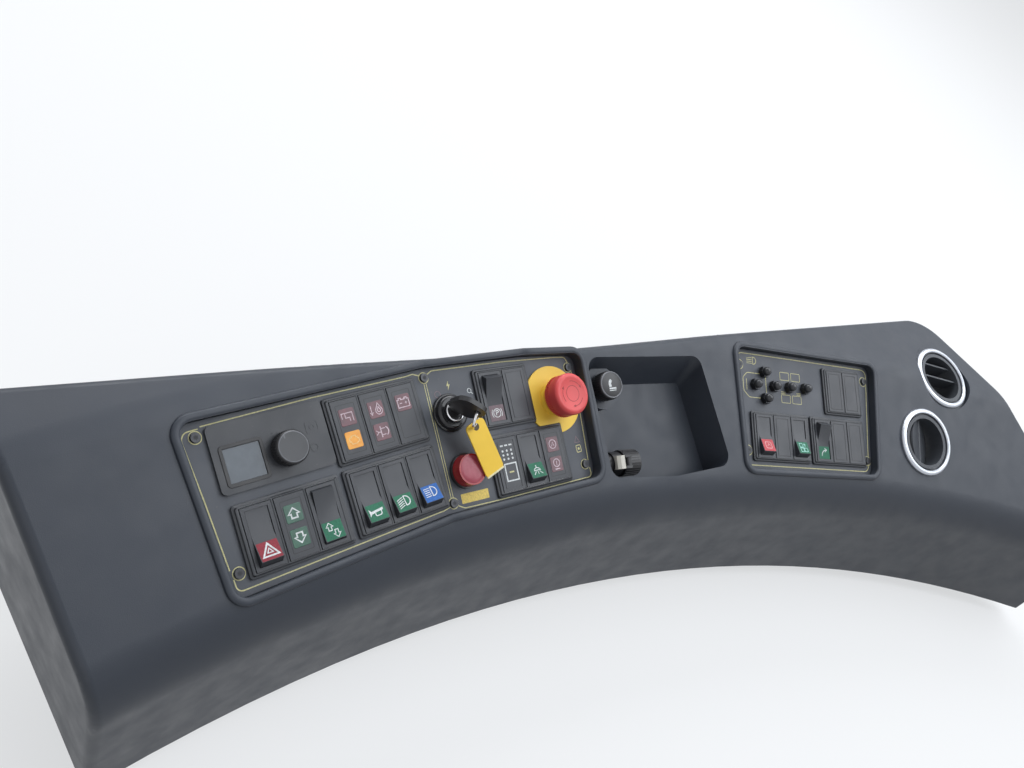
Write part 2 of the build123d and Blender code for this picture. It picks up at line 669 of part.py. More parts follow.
with BuildPart() as heater_knob:
    with BuildSketch(knob_seat.offset(HEATER_H + KNOB_GAP)):
        Circle(KNOB_R)
    extrude(amount=KNOB_H - KNOB_SHOULDER)
    with BuildSketch(knob_seat.offset(HEATER_H + KNOB_GAP + KNOB_H - KNOB_SHOULDER)):
        Circle(KNOB_R)
    with BuildSketch(knob_seat.offset(HEATER_H + KNOB_GAP + KNOB_H)):
        Circle(KNOB_TOP_R)
    loft()
    with BuildSketch(knob_seat.offset(-PLATE_THICK)):
        Circle(SHAFT_R)
    extrude(amount=PLATE_THICK + HEATER_H + KNOB_GAP)
save(heater_knob, "heater_knob")

# Ignition lock, key and tag
lock_seat = seat(left_panel_plane, *LOCK)
with BuildPart() as ignition_lock:
    with BuildSketch(lock_seat):
        Circle(LOCK_R)
    with BuildSketch(lock_seat.offset(LOCK_H)):
        Circle(LOCK_FACE_R + 1)
    loft()
    with BuildSketch(lock_seat):
        Circle(LOCK_BODY_R)
    extrude(amount=-LOCK_DEPTH)
    with BuildSketch(lock_seat.offset(LOCK_H)):
        Circle(PLUG_R + FIT_GAP)
    extrude(amount=-LOCK_H - 8, mode=Mode.SUBTRACT)
save(ignition_lock, "ignition_lock")

key_seat = seat(left_panel_plane, *LOCK, KEY_TURN)
key_side = Plane(origin=key_seat.origin, x_dir=key_seat.x_dir, z_dir=-key_seat.y_dir)
with BuildPart() as ignition_key:
    with BuildSketch(lock_seat.offset(-7.5)):
        Circle(PLUG_R)
    extrude(amount=7.5 + PLUG_H)
    with BuildSketch(key_side):
        with Locations((0, (PLUG_H + BOW_FOOT) / 2)):
            Rectangle(8, BOW_FOOT - PLUG_H + 2)
    extrude(amount=KEY_T / 2, both=True)
    with BuildSketch(key_side):
        with Locations((0, BOW_FOOT + BOW_H / 2)):
            RectangleRounded(BOW_W, BOW_H, 9)
        with Locations((BOW_HOLE[0], BOW_FOOT + BOW_HOLE[1])):
            Circle(BOW_HOLE_R, mode=Mode.SUBTRACT)
    extrude(amount=BOW_T / 2, both=True)
save(ignition_key, "ignition_key")

def in_frame(plane, parts):
    """A direction given by its parts along a plane's x, y and z."""
    return (plane.x_dir * parts[0] + plane.y_dir * parts[1] + plane.z_dir * parts[2]).normalized()


hole_centre = key_side.from_local_coords((BOW_HOLE[0], BOW_FOOT + BOW_HOLE[1], 0))
ring_way = in_frame(key_side, RING_WAY)
through = (key_side.z_dir - ring_way * key_side.z_dir.dot(ring_way)).normalized()
ring_centre = hole_centre + ring_way * RING_R
tag_way = in_frame(left_panel_plane, TAG_WAY)
face_up = (left_panel_plane.z_dir - tag_way * left_panel_plane.z_dir.dot(tag_way)).normalized()
tag_centre = hole_centre + ring_way * 2 * RING_R + tag_way * (TAG_L / 2 - TAG_OVERLAP)
with BuildPart() as key_tag:
    with BuildSketch(Plane(origin=ring_centre, x_dir=ring_way, z_dir=through)):
        with Locations((RING_R, 0)):
            Circle(RING_WIRE_R)
    revolve(axis=Axis(ring_centre, ring_way.cross(through)))
    with BuildSketch(Plane(origin=tag_centre, x_dir=tag_way, z_dir=face_up)):
        RectangleRounded(TAG_L, TAG_W, 4)
    extrude(amount=TAG_T / 2, both=True)
save(key_tag, "key_tag")

# Emergency stop
stop_seat = seat(left_panel_plane, *STOP)
with BuildPart() as stop_plate:
    with BuildSketch(stop_seat):
        Circle(STOP_PLATE_R)
        Circle(STOP_BODY_R + PLATE_GAP, mode=Mode.SUBTRACT)
    extrude(amount=STOP_PLATE_T)
    for frame_name, frame_seat, count in frame_seats:
        with BuildSketch(frame_seat):
            Rectangle(frame_width(count) + 2 * MODULE_GAP, FRAME_LENGTH + 2 * MODULE_GAP)
        extrude(amount=STOP_PLATE_T + 1, mode=Mode.SUBTRACT)
save(stop_plate, "stop_plate")
with BuildPart() as stop_body:
    with BuildSketch(stop_seat.offset(-STOP_DEPTH)):
        Circle(STOP_BODY_R)
    extrude(amount=STOP_DEPTH + STOP_PLATE_T)
    with BuildSketch(stop_seat.offset(STOP_PLATE_T)):
        Circle(STOP_COLLAR_R)
    extrude(amount=STOP_COLLAR_H - STOP_PLATE_T)
    with BuildSketch(stop_seat.offset(STOP_COLLAR_H)):
        Circle(STOP_STEM_R + FIT_GAP)
    extrude(amount=-STOP_COLLAR_H - 8, mode=Mode.SUBTRACT)
save(stop_body, "stop_body")
cap_foot = STOP_COLLAR_H + STOP_STROKE + 1
cap_top = cap_foot + STOP_CAP_H
edge_mid = STOP_CAP_EDGE_R * (1 - cos(radians(45)))
stop_side = Plane(origin=stop_seat.origin, x_dir=stop_seat.x_dir, z_dir=-stop_seat.y_dir)
with BuildPart() as stop_button:
    with BuildSketch(stop_side):
        with BuildLine():
            Polyline((0, cap_top), (0, -2), (STOP_STEM_R, -2), (STOP_STEM_R, cap_foot),
                     (STOP_CAP_R, cap_foot), (STOP_CAP_R, cap_top - STOP_CAP_EDGE_R))
            ThreePointArc((STOP_CAP_R, cap_top - STOP_CAP_EDGE_R),
                          (STOP_CAP_R - edge_mid, cap_top - edge_mid),
                          (STOP_CAP_R - STOP_CAP_EDGE_R, cap_top))
            Line((STOP_CAP_R - STOP_CAP_EDGE_R, cap_top), (0, cap_top))
        make_face()
    revolve(axis=Axis(stop_seat.origin, stop_seat.z_dir))
save(stop_button, "stop_button")

# Red lamp
lamp_seat = seat(left_panel_plane, *LAMP)
with BuildPart() as lamp_bezel:
    with BuildSketch(lamp_seat):
        Circle(LAMP_BEZEL_R)
    extrude(amount=LAMP_BEZEL_H)
    with BuildSketch(lamp_seat):
        Circle(LAMP_BODY_R)
    extrude(amount=-LAMP_DEPTH)
save(lamp_bezel, "lamp_bezel")
with BuildPart() as lamp_lens:
    with BuildSketch(lamp_seat.offset(LAMP_BEZEL_H)):
        Circle(LAMP_R)
    extrude(amount=LAMP_H - LAMP_BEZEL_H, taper=4)
save(lamp_lens, "lamp_lens")

# Push buttons
button_seats = [seat(right_panel_plane, *spot) for spot in BUTTONS]
with BuildPart() as button_nuts:
    for place in button_seats:
        with BuildSketch(place):
            RegularPolygon(BUTTON_R, 6)
        extrude(amount=BUTTON_NUT_H)
        with BuildSketch(place):
            Circle(BUTTON_STEM_R)
        extrude(amount=-BUTTON_DEPTH)
save(button_nuts, "button_nuts")
with BuildPart() as button_boots:
    for place in button_seats:
        side = Plane(origin=place.offset(BUTTON_NUT_H).origin, x_dir=place.x_dir, z_dir=-place.y_dir)
        rise = BUTTON_DOME_H - BUTTON_NUT_H
        with BuildSketch(side):
            with BuildLine():
                Polyline((0, rise), (0, 0), (BUTTON_DOME_R, 0), (BUTTON_DOME_R, rise - BUTTON_DOME_R))
                CenterArc((0, rise - BUTTON_DOME_R), BUTTON_DOME_R, 0, 90)
            make_face()
        revolve(axis=Axis(side.origin, place.z_dir))
save(button_boots, "button_boots")

# Lighter in its turret
with BuildPart() as lighter_sleeve:
    with BuildSketch(lighter_seat.offset(LIGHTER_TURRET_TOP)):
        Circle(LIGHTER_BORE_R - 0.1)
        Circle(LIGHTER_STEM_R + FIT_GAP, mode=Mode.SUBTRACT)
    extrude(amount=-LIGHTER_SLEEVE_L)
save(lighter_sleeve, "lighter_sleeve")
with BuildPart() as lighter_knob:
    with BuildSketch(lighter_seat.offset(LIGHTER_TURRET_TOP + LIGHTER_GAP)):
        Circle(LIGHTER_R)
    extrude(amount=LIGHTER_H, taper=5)
    with BuildSketch(lighter_seat.offset(LIGHTER_TURRET_TOP + LIGHTER_GAP)):
        Circle(LIGHTER_STEM_R)
    extrude(amount=-LIGHTER_STEM_L)
save(lighter_knob, "lighter_knob")

# Power socket in the tray's left wall; its cap turns on a pin held by a bracket on the collar
cap_length = CAP_U[1] - CAP_U[0]
hinge_plane = Plane(origin=tray_plane.from_local_coords((HINGE_U, SOCKET[0], SOCKET[1] + HINGE_RISE)),
                    x_dir=tray_plane.x_dir, z_dir=-tray_plane.y_dir)
with BuildPart() as power_socket:
    add(disc(socket_plane, SOCKET_R, SOCKET_START_U, SOCKET_END_U))
    add(disc(socket_plane, COLLAR_R, *COLLAR_U))
    add(disc(socket_plane, SOCKET_BORE_R, SOCKET_END_U - SOCKET_BORE_L, SOCKET_END_U), mode=Mode.SUBTRACT)
save(power_socket, "power_socket")
block_start, block_end = BRACKET_BLOCK[0] - HINGE_U, BRACKET_BLOCK[1] - HINGE_U
with BuildPart() as cap_bracket:
    with BuildSketch(hinge_plane):
        with BuildLine():
            Polyline((block_start, -HINGE_RISE + COLLAR_R / 2), (block_end, -HINGE_RISE + COLLAR_R / 2),
                     (block_end, HINGE_R), (block_start + 3, HINGE_R), (block_start, 0), close=True)
        make_face()
    extrude(amount=LUG_HALF, both=True)
    for side in (-1, 1):
        with BuildSketch(hinge_plane.offset(side * (KNUCKLE_HALF + LUG_GAP))):
            Circle(HINGE_R)
            with Locations((block_end / 2, 0)):
                Rectangle(-block_end, 2 * HINGE_R)
        extrude(amount=side * (LUG_HALF - KNUCKLE_HALF - LUG_GAP))
    with BuildSketch(hinge_plane):
        Circle(HINGE_PIN_R)
    extrude(amount=LUG_HALF, both=True)
    add(disc(socket_plane, COLLAR_R, SOCKET_START_U, SOCKET_END_U), mode=Mode.SUBTRACT)
save(cap_bracket, "cap_bracket")
with BuildPart() as socket_cap:
    add(disc(socket_plane, CAP_R, *CAP_U))
    with BuildSketch(hinge_plane):
        Circle(HINGE_R)
        with Locations((2, -2)):
            Rectangle(4, 4)
    extrude(amount=KNUCKLE_HALF, both=True)
    add(disc(socket_plane, CAP_R - CAP_WALL, CAP_U[0], CAP_U[1] - CAP_WALL), mode=Mode.SUBTRACT)
    with BuildSketch(hinge_plane):
        Circle(HINGE_PIN_R + PIVOT_GAP)
    extrude(amount=KNUCKLE_HALF, both=True, mode=Mode.SUBTRACT)
save(socket_cap, "socket_cap")

# Warm-air outlets: ring, housing with its duct spigot, and the turning barrel with its blades or flap
ring_inner = VENT_R - VENT_RING_W
barrel_inner = VENT_BALL_R - VENT_BALL_WALL
for (name, *_), place in zip(VENTS, vent_planes):
    ring_side = Plane(origin=place.origin, x_dir=place.x_dir, z_dir=-place.y_dir)
    edge_turn = VENT_RING_EDGE * sin(radians(45))
    edge_centre = (VENT_R - VENT_RING_EDGE, VENT_RING_H - VENT_RING_EDGE)
    with BuildPart() as ring:
        with BuildSketch(ring_side):
            with BuildLine():
                Polyline((edge_centre[0], VENT_RING_H), (ring_inner + 1, VENT_RING_H), (ring_inner, VENT_RING_H - 1),
                         (ring_inner, 0), (VENT_R, 0), (VENT_R, edge_centre[1]))
                ThreePointArc((VENT_R, edge_centre[1]),
                              (edge_centre[0] + edge_turn, edge_centre[1] + edge_turn), (edge_centre[0], VENT_RING_H))
            make_face()
        revolve(axis=Axis(place.origin, place.z_dir))
    save(ring, f"{name}_vent_ring")
    with BuildPart() as housing:
        with BuildSketch(place.offset(-VENT_DEPTH)):
            Circle(VENT_THROAT_R - 0.2)
            Circle(VENT_BALL_R + VENT_BALL_GAP, mode=Mode.SUBTRACT)
        extrude(amount=VENT_DEPTH)
        with BuildSketch(place.offset(-VENT_DEPTH)):
            Circle(VENT_THROAT_R - 0.2)
            Circle(DUCT_R - DUCT_WALL, mode=Mode.SUBTRACT)
        extrude(amount=-DUCT_WALL)
        with BuildSketch(place.offset(-VENT_DEPTH - DUCT_WALL)):
            Circle(DUCT_R)
            Circle(DUCT_R - DUCT_WALL, mode=Mode.SUBTRACT)
        extrude(amount=-DUCT_LENGTH)
    save(housing, f"{name}_vent_housing")
    with BuildPart() as barrel:
        with BuildSketch(place.offset(-VENT_DEPTH + 1)):
            Circle(VENT_BALL_R)
            Circle(barrel_inner, mode=Mode.SUBTRACT)
        extrude(amount=VENT_DEPTH + 1)
        if name == "rear":
            for across in VENT_BLADES:
                half = sqrt((barrel_inner + 1) ** 2 - across ** 2)
                with BuildSketch(seat(place, 0, across).offset(-VENT_DEPTH + 6)):
                    Rectangle(2 * half - 1, VENT_BLADE_T)
                extrude(amount=VENT_DEPTH - 8)
        else:
            tilt = radians(FLAP_TILT)
            flap_way = place.x_dir * cos(tilt) - place.z_dir * sin(tilt)
            flap = Plane(origin=place.offset(-FLAP_SINK).origin, x_dir=flap_way, z_dir=flap_way.cross(place.y_dir))
            with BuildSketch(flap):
                Circle(barrel_inner - FLAP_GAP)
            extrude(amount=FLAP_T / 2, both=True)
            with BuildSketch(Plane(origin=flap.origin, x_dir=place.x_dir, z_dir=place.y_dir)):
                Circle(FLAP_T)
            extrude(amount=barrel_inner + 1, both=True)
    save(barrel, f"{name}_vent_barrel")

# Screws of both panels
with BuildPart() as panel_screws:
    for place, screws in ((left_panel_plane, LEFT_SCREWS), (right_panel_plane, RIGHT_SCREWS)):
        for spot in screws:
            with BuildSketch(seat(place, *spot)):
                Circle(SCREW_HEAD_R)
            extrude(amount=SCREW_HEAD_H)
            with BuildSketch(seat(place, *spot)):
                Circle(SCREW_HOLE_R)
            extrude(amount=-PLATE_THICK)
save(panel_screws, "panel_screws")
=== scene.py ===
"""Looks of the forwarder cab's dashboard console: finishes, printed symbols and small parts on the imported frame.

Sizes are in millimetres on planes of the console, as in the CAD source, and become metres in the meshes."""
from math import atan, atan2, ceil, cos, hypot, pi, radians, sin, tan

import bmesh
import bpy
from mathutils import Matrix, Vector
from mathutils.bvhtree import BVHTree


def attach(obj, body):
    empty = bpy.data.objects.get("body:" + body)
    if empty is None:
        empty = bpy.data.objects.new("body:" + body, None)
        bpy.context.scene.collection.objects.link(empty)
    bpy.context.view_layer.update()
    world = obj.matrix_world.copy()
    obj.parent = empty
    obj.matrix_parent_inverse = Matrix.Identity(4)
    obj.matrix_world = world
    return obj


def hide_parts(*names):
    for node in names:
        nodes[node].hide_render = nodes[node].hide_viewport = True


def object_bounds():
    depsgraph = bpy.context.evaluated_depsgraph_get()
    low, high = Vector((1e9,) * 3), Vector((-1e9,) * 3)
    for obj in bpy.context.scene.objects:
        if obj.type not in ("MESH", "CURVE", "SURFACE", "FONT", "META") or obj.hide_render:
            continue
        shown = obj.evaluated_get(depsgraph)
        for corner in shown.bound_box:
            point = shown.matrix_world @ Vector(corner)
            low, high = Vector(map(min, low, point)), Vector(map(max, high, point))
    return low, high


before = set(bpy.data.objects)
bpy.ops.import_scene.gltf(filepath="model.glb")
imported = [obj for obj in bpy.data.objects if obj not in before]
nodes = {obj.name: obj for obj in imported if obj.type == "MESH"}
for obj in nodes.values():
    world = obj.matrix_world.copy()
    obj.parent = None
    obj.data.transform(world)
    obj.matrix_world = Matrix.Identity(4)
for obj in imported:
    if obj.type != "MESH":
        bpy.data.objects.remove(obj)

cad_low, cad_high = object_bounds()
MM = 0.001

# Driving sizes of the console, in mm and degrees, shared with the CAD source
SWEEP_R = 1584.0
SWEEP_FOOT = Vector((-91.0, -1650.0, 50.0))
TOP_SLOPE = 24.5
PITCH = 24.2
MODULE_H = 3.9
PIVOT_DEPTH = 7.0
ROCKER_W = 15.9
ROCKER_HALF = 18.0
ROCKER_RISE = 2.6
ROCKER_DIP = -0.6
FACE_HALF = hypot(ROCKER_HALF, ROCKER_RISE - ROCKER_DIP)
LENS_TOP = MODULE_H + 0.4
LENS_SIDE = 12.8
LENS_OFFSET = 8.6
TURN = 2.67               # the left panel's frames are turned by this to either side
LIP_WIDTH = 5.0
PLATE_GAP = 0.4
PLATE_CORNER_R = 9.0
LEFT_OUTLINE = ((-144, 56), (50, 64), (150, 58.8), (208.5, 51.6), (198, -58), (44, -51.5), (-130.5, -64))
RIGHT_OUTLINE = ((-105, 69.5), (94.5, 68), (84, -54), (-99.5, -54.5))
LEFT_SCREWS = ((-132, 46), (50.5, 56.5), (49.0, -44.5), (-124.5, -47.5), (199.5, 41.5), (190.5, -45.1))
RIGHT_SCREWS = ((-96.9, 52.9), (84.9, 50.7), (79.3, -38.5), (-92.5, -35.5))
SCREW_TOP = 2.0
LOCK = (66.0, 25.0)
KEY_TURN = -39.0
KEY_HOLE = (7.0, 32.0, 0)
LAMP = (66.5, -22.5)
STOP = (173.0, 16.8)
STOP_TOP = 28.5
HEATER = (-82.5, 29.5)
HEATER_FACE = 2.4
HEATER_MARK = 2.7
KNOB = (9.3, -4.4)
KNOB_TOP = 14.0
LIGHTER = (-48.0, 32.0)
SOCKET = (0, -38.0, -16.0)
PRINT = 0.07              # a printed line stands this far out
ON_LENS = (LENS_TOP, LENS_TOP + PRINT)
ON_MODULE = (MODULE_H, MODULE_H + PRINT)

# The photo's camera, in metres
CAMERA_PLACE = (-0.5349, -0.3472, 0.5698)
CAMERA_RIGHT = (0.8183, -0.3890, 0.4231)
CAMERA_UP = (0.0837, 0.8089, 0.5819)
CAMERA_LENS = 30.34


# Places on the console

def axes(origin, x, y, z):
    """Frame with its origin and its three directions."""
    return Matrix(((x.x, y.x, z.x, origin.x), (x.y, y.y, z.y, origin.y), (x.z, y.z, z.z, origin.z), (0, 0, 0, 1)))


def face_plane(azimuth, lift=0.0):
    """Frame on the top face, in mm: x to the right, y up the slope, z out of the face."""
    a, slope = radians(azimuth), radians(TOP_SLOPE)
    away = Vector((sin(a), cos(a), 0))
    right = Vector((cos(a), -sin(a), 0))
    normal = Vector((0, 0, 1)) * cos(slope) - away * sin(slope)
    return axes(SWEEP_FOOT + away * SWEEP_R + normal * lift, right, normal.cross(right), normal)


def seat(place, u, v, turn=0.0):
    """Frame at a spot of another, turned about its z."""
    return place @ Matrix.Translation((u, v, 0)) @ Matrix.Rotation(radians(turn), 4, "Z")


left_panel = face_plane(-5.76, lift=-3.0)
right_panel = face_plane(12.17, lift=-5.5)
tray = face_plane(4.3)

# Frames: panel, centre u and v, turn, modules from left to right as (node or kind, tilt)
FRAMES = {
    "turn_signal_frame": (left_panel, -79.9, -27.2, TURN, (("hazard", -1), ("lamps", 0), ("direction", 0))),
    "lighting_frame": (left_panel, 3.5, -22.9, TURN, (("horn", -1), ("headlamp", -1), ("main_beam", -1))),
    "warning_lamp_frame": (left_panel, 1.2, 31.0, TURN, (("lamps", 0), ("lamps", 0), ("lamps", 0))),
    "brake_frame": (left_panel, 122.2, 28.4, -TURN, (("brake", 1), ("blank", 0))),
    "work_mode_frame": (left_panel, 132.4, -27.9, -TURN, (("blank", 0), ("work_lamp", -1), ("lamps", 0))),
    "blank_frame": (right_panel, 47.2, 34.5, 0.0, (("blank", 0), ("blank", 0))),
    "hydraulics_frame": (right_panel, -47.5, -20.5, 0.0, (("release", -1), ("blank", 0), ("crane", -1))),
    "crane_lamp_frame": (right_panel, 35.0, -20.5, 0.0, (("boom_lamp", 1), ("blank", 0), ("blank", 0))),
}


def module_seat(frame_name, index):
    """Frame in the middle of one module of a switch frame."""
    panel, u, v, turn, row = FRAMES[frame_name]
    return seat(panel, u, v, turn) @ Matrix.Translation(((index - (len(row) - 1) / 2) * PITCH, 0, 0))


def rocker_face(frame_name, index):
    """Frame on the lower half of a rocker's face: y is 0 in the middle and falls to the lower end."""
    tilt = FRAMES[frame_name][4][index][1]
    rise = atan((ROCKER_RISE - ROCKER_DIP) / ROCKER_HALF)
    pivot = module_seat(frame_name, index) @ Matrix.Translation((0, 0, MODULE_H - PIVOT_DEPTH))
    middle = pivot @ Matrix.Rotation(tilt * rise, 4, "X") @ Matrix.Translation((0, 0, PIVOT_DEPTH + ROCKER_DIP))
    return middle @ Matrix.Rotation(-rise, 4, "X")


# Meshes

class Draft:
    """Collects solids drawn on planes of the console, and makes one piece of them."""

    def __init__(self):
        self.mesh = bmesh.new()

    def prism(self, place, points, low, high):
        """Closed prism of an outline from low to high above its plane."""
        bottom = [self.mesh.verts.new(place @ Vector((x, y, low))) for x, y in points]
        top = [self.mesh.verts.new(place @ Vector((x, y, high))) for x, y in points]
        self.mesh.faces.new(top)
        self.mesh.faces.new(list(reversed(bottom)))
        for i in range(len(points)):
            j = (i + 1) % len(points)
            self.mesh.faces.new((bottom[i], bottom[j], top[j], top[i]))

    def stroke(self, place, points, width, low=0.0, high=PRINT, closed=False):
        """Line of constant width through points, with mitred corners."""
        left, right = offset_line(points, width / 2, closed), offset_line(points, -width / 2, closed)
        rows = [[self.mesh.verts.new(place @ Vector((x, y, h))) for x, y in side]
                for side, h in ((right, low), (left, low), (left, high), (right, high))]
        count = len(points)
        for i in range(count if closed else count - 1):
            j = (i + 1) % count
            for k in range(4):
                a, b = rows[k], rows[(k + 1) % 4]
                self.mesh.faces.new((a[i], a[j], b[j], b[i]))
        if not closed:
            self.mesh.faces.new([row[0] for row in rows])
            self.mesh.faces.new([row[-1] for row in reversed(rows)])

    def ring(self, place, centre, radius, width, low=0.0, high=PRINT, steps=40):
        self.stroke(place, arc_points(centre, radius, 0, 360, steps)[:-1], width, low, high, closed=True)

    def disc(self, place, centre, radius, low=0.0, high=PRINT, steps=40):
        self.prism(place, arc_points(centre, radius, 0, 360, steps)[:-1], low, high)

    def spin(self, place, profile, steps=64, closed=False):
        """Solid of revolution about the plane's z; its profile (radius, height) ends on the axis or is closed."""
        rings = []
        for r, h in profile:
            if r < 1e-6:
                rings.append([self.mesh.verts.new(place @ Vector((0, 0, h)))])
            else:
                rings.append([self.mesh.verts.new(place @ Vector((r * cos(t), r * sin(t), h)))
                              for t in (2 * pi * k / steps for k in range(steps))])
        for a, b in zip(rings, rings[1:] + rings[:1] if closed else rings[1:]):
            for k in range(steps):
                n = (k + 1) % steps
                corners = [a[k % len(a)], a[n % len(a)], b[n % len(b)], b[k % len(b)]]
                corners = list(dict.fromkeys(corners))
                if len(corners) > 2:
                    self.mesh.faces.new(corners)

    def loft(self, rings, closed=False):
        """Skin over rings with equally many corners; closed joins the last ring to the first."""
        for a, b in zip(rings, rings[1:] + rings[:1] if closed else rings[1:]):
            for i in range(len(a)):
                j = (i + 1) % len(a)
                self.mesh.faces.new((a[i], a[j], b[j], b[i]))

    def piece(self, name, material, slot, body="console", bevel=0.0, smooth=30.0):
        """The drawn solids as one piece, in metres, that rides a body."""
        bmesh.ops.recalc_face_normals(self.mesh, faces=self.mesh.faces)
        bmesh.ops.scale(self.mesh, vec=(MM, MM, MM), verts=self.mesh.verts)
        mesh = bpy.data.meshes.new(name)
        self.mesh.to_mesh(mesh)
        self.mesh.free()
        made = bpy.data.objects.new(name, mesh)
        bpy.context.scene.collection.objects.link(made)
        made.data.materials.append(material)
        if bevel:
            add_bevel(made, bevel)
        if smooth:
            mesh.shade_smooth()
            mesh.set_sharp_from_angle(angle=radians(smooth))
        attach(made, body)
        return made


def add_bevel(obj, width):
    """Rounds the sharp edges by a bevel of the width in mm."""
    bevel = obj.modifiers.new("edge", "BEVEL")
    bevel.width = width * MM
    bevel.segments = 2
    bevel.limit_method = "ANGLE"
    bevel.angle_limit = radians(32)
    bevel.harden_normals = True
    bevel.use_clamp_overlap = True


def offset_line(points, distance, closed):
    """Points moved sideways by a distance, mitred at the corners."""
    made = []
    count = len(points)
    for i, here in enumerate(points):
        before = points[i - 1] if closed or i else None
        after = points[(i + 1) % count] if closed or i < count - 1 else None
        normals = []
        for a, b in ((before, here), (here, after)):
            if a is not None and b is not None:
                d = hypot(b[0] - a[0], b[1] - a[1])
                normals.append((-(b[1] - a[1]) / d, (b[0] - a[0]) / d))
        nx, ny = sum(n[0] for n in normals), sum(n[1] for n in normals)
        size = hypot(nx, ny)
        share = len(normals) / size if size > 0.3 else 1.0
        share = min(share / size if size > 0.3 else 1.0, 2.0)
        made.append((here[0] + nx * share * distance, here[1] + ny * share * distance))
    return made


def arc_points(centre, radius, start, end, steps=16):
    """Points on an arc between two angles, in degrees."""
    turns = [radians(start + (end - start) * k / steps) for k in range(steps + 1)]
    return [(centre[0] + radius * cos(t), centre[1] + radius * sin(t)) for t in turns]


def rounded(points, radius, steps=5):
    """Closed outline with its corners rounded by arcs, of one radius or one for each corner."""
    made = []
    count = len(points)
    for i, here in enumerate(points):
        r = radius[i] if isinstance(radius, (list, tuple)) else radius
        if not r:
            made.append(here)
            continue
        a, b = Vector(points[i - 1]), Vector(points[(i + 1) % count])
        p = Vector(here)
        da, db = (a - p).normalized(), (b - p).normalized()
        half = da.angle(db) / 2
        reach = min(r / tan(half), 0.49 * (a - p).length, 0.49 * (b - p).length)
        if reach < 0.01:
            made.append(tuple(p))
            continue
        r = reach * tan(half)
        centre = p + (da + db).normalized() * (r / sin(half))
        first, last = p + da * reach, p + db * reach
        t0 = atan2(first.y - centre.y, first.x - centre.x)
        t1 = atan2(last.y - centre.y, last.x - centre.x)
        turn = (t1 - t0 + pi) % (2 * pi) - pi
        made += [(centre.x + r * cos(t0 + turn * k / steps), centre.y + r * sin(t0 + turn * k / steps))
                 for k in range(steps + 1)]
    return made


def box_points(width, height, centre=(0, 0)):
    """Corners of a rectangle."""
    x, y = centre
    return [(x - width / 2, y - height / 2), (x + width / 2, y - height / 2),
            (x + width / 2, y + height / 2), (x - width / 2, y + height / 2)]


# Materials

def shader(name, colour, roughness, metallic=0.0, specular=0.5, coat=0.0):
    """Material with a Principled shader; returns it with its node tree and shader for a finish to be added."""
    material = bpy.data.materials.new(name)
    material.use_nodes = True
    tree = material.node_tree
    main = tree.nodes["Principled BSDF"]
    for socket, value in (("Base Color", (*colour, 1)), ("Roughness", roughness), ("Metallic", metallic),
                          ("Specular IOR Level", specular), ("Coat Weight", coat)):
        main.inputs[socket].default_value = value
    return material, tree, main


def node(tree, kind, **settings):
    """New node with its settings."""
    made = tree.nodes.new(kind)
    for key, value in settings.items():
        setattr(made, key, value)
    return made


def noise(tree, scale, detail=4.0, rough=0.55):
    """Noise texture over the object's own coordinates."""
    place = tree.nodes.get("place") or node(tree, "ShaderNodeTexCoord", name="place")
    made = node(tree, "ShaderNodeTexNoise")
    for socket, value in (("Scale", scale), ("Detail", detail), ("Roughness", rough)):
        made.inputs[socket].default_value = value
    tree.links.new(place.outputs["Object"], made.inputs["Vector"])
    return made.outputs["Fac"]


def ramp(tree, value, stops):
    """Colours or greys at places along a value."""
    made = node(tree, "ShaderNodeValToRGB")
    while len(made.color_ramp.elements) < len(stops):
        made.color_ramp.elements.new(0.5)
    for element, (at, colour) in zip(made.color_ramp.elements, stops):
        element.position = at
        element.color = (*colour, 1) if isinstance(colour, tuple) else (colour, colour, colour, 1)
    tree.links.new(value, made.inputs["Fac"])
    return made.outputs["Color"]


def mix(tree, share, a, b):
    """Colour from a to b by a share; a and b are sockets or colours."""
    made = node(tree, "ShaderNodeMix", data_type="RGBA")
    for index, value in ((0, share), (6, a), (7, b)):
        if hasattr(value, "is_output"):
            tree.links.new(value, made.inputs[index])
        else:
            made.inputs[index].default_value = (*value, 1)
    return made.outputs[2]


def bump(tree, main, height, strength, distance):
    """Fine relief on a shader, its distance in metres."""
    made = node(tree, "ShaderNodeBump")
    made.inputs["Strength"].default_value = strength
    made.inputs["Distance"].default_value = distance
    tree.links.new(height, made.inputs["Height"])
    tree.links.new(made.outputs["Normal"], main.inputs["Normal"])


def plastic(name, colour, roughness=0.5, grain=0.35, grain_scale=1600.0, vary=0.12, dust=0.0, specular=0.45):
    """Moulded plastic: fine grain, small changes of shade and gloss, and specks and a film of dust."""
    material, tree, main = shader(name, colour, roughness, specular=specular)
    tone = ramp(tree, noise(tree, 14.0, 5), ((0.3, tuple(c * (1 - vary) for c in colour)),
                                            (0.7, tuple(min(1, c * (1 + vary)) for c in colour))))
    if dust:
        specks = ramp(tree, noise(tree, 420.0, 2, 0.4), ((0.70, 0.0), (0.76, 1.0)))
        film = ramp(tree, noise(tree, 30.0, 6, 0.7), ((0.45, 0.0), (0.85, 0.5)))
        amount = node(tree, "ShaderNodeMath", operation="MULTIPLY")
        both = node(tree, "ShaderNodeMath", operation="ADD")
        tree.links.new(specks, both.inputs[0])
        tree.links.new(film, both.inputs[1])
        tree.links.new(both.outputs[0], amount.inputs[0])
        amount.inputs[1].default_value = dust
        tone = mix(tree, amount.outputs[0], tone, (0.36, 0.33, 0.28))
    tree.links.new(tone, main.inputs["Base Color"])
    gloss = ramp(tree, noise(tree, 45.0, 5), ((0.3, max(0.05, roughness - 0.06)), (0.7, min(1, roughness + 0.08))))
    tree.links.new(gloss, main.inputs["Roughness"])
    if grain:
        bump(tree, main, noise(tree, grain_scale, 2, 0.5), grain, 0.00012)
    return material


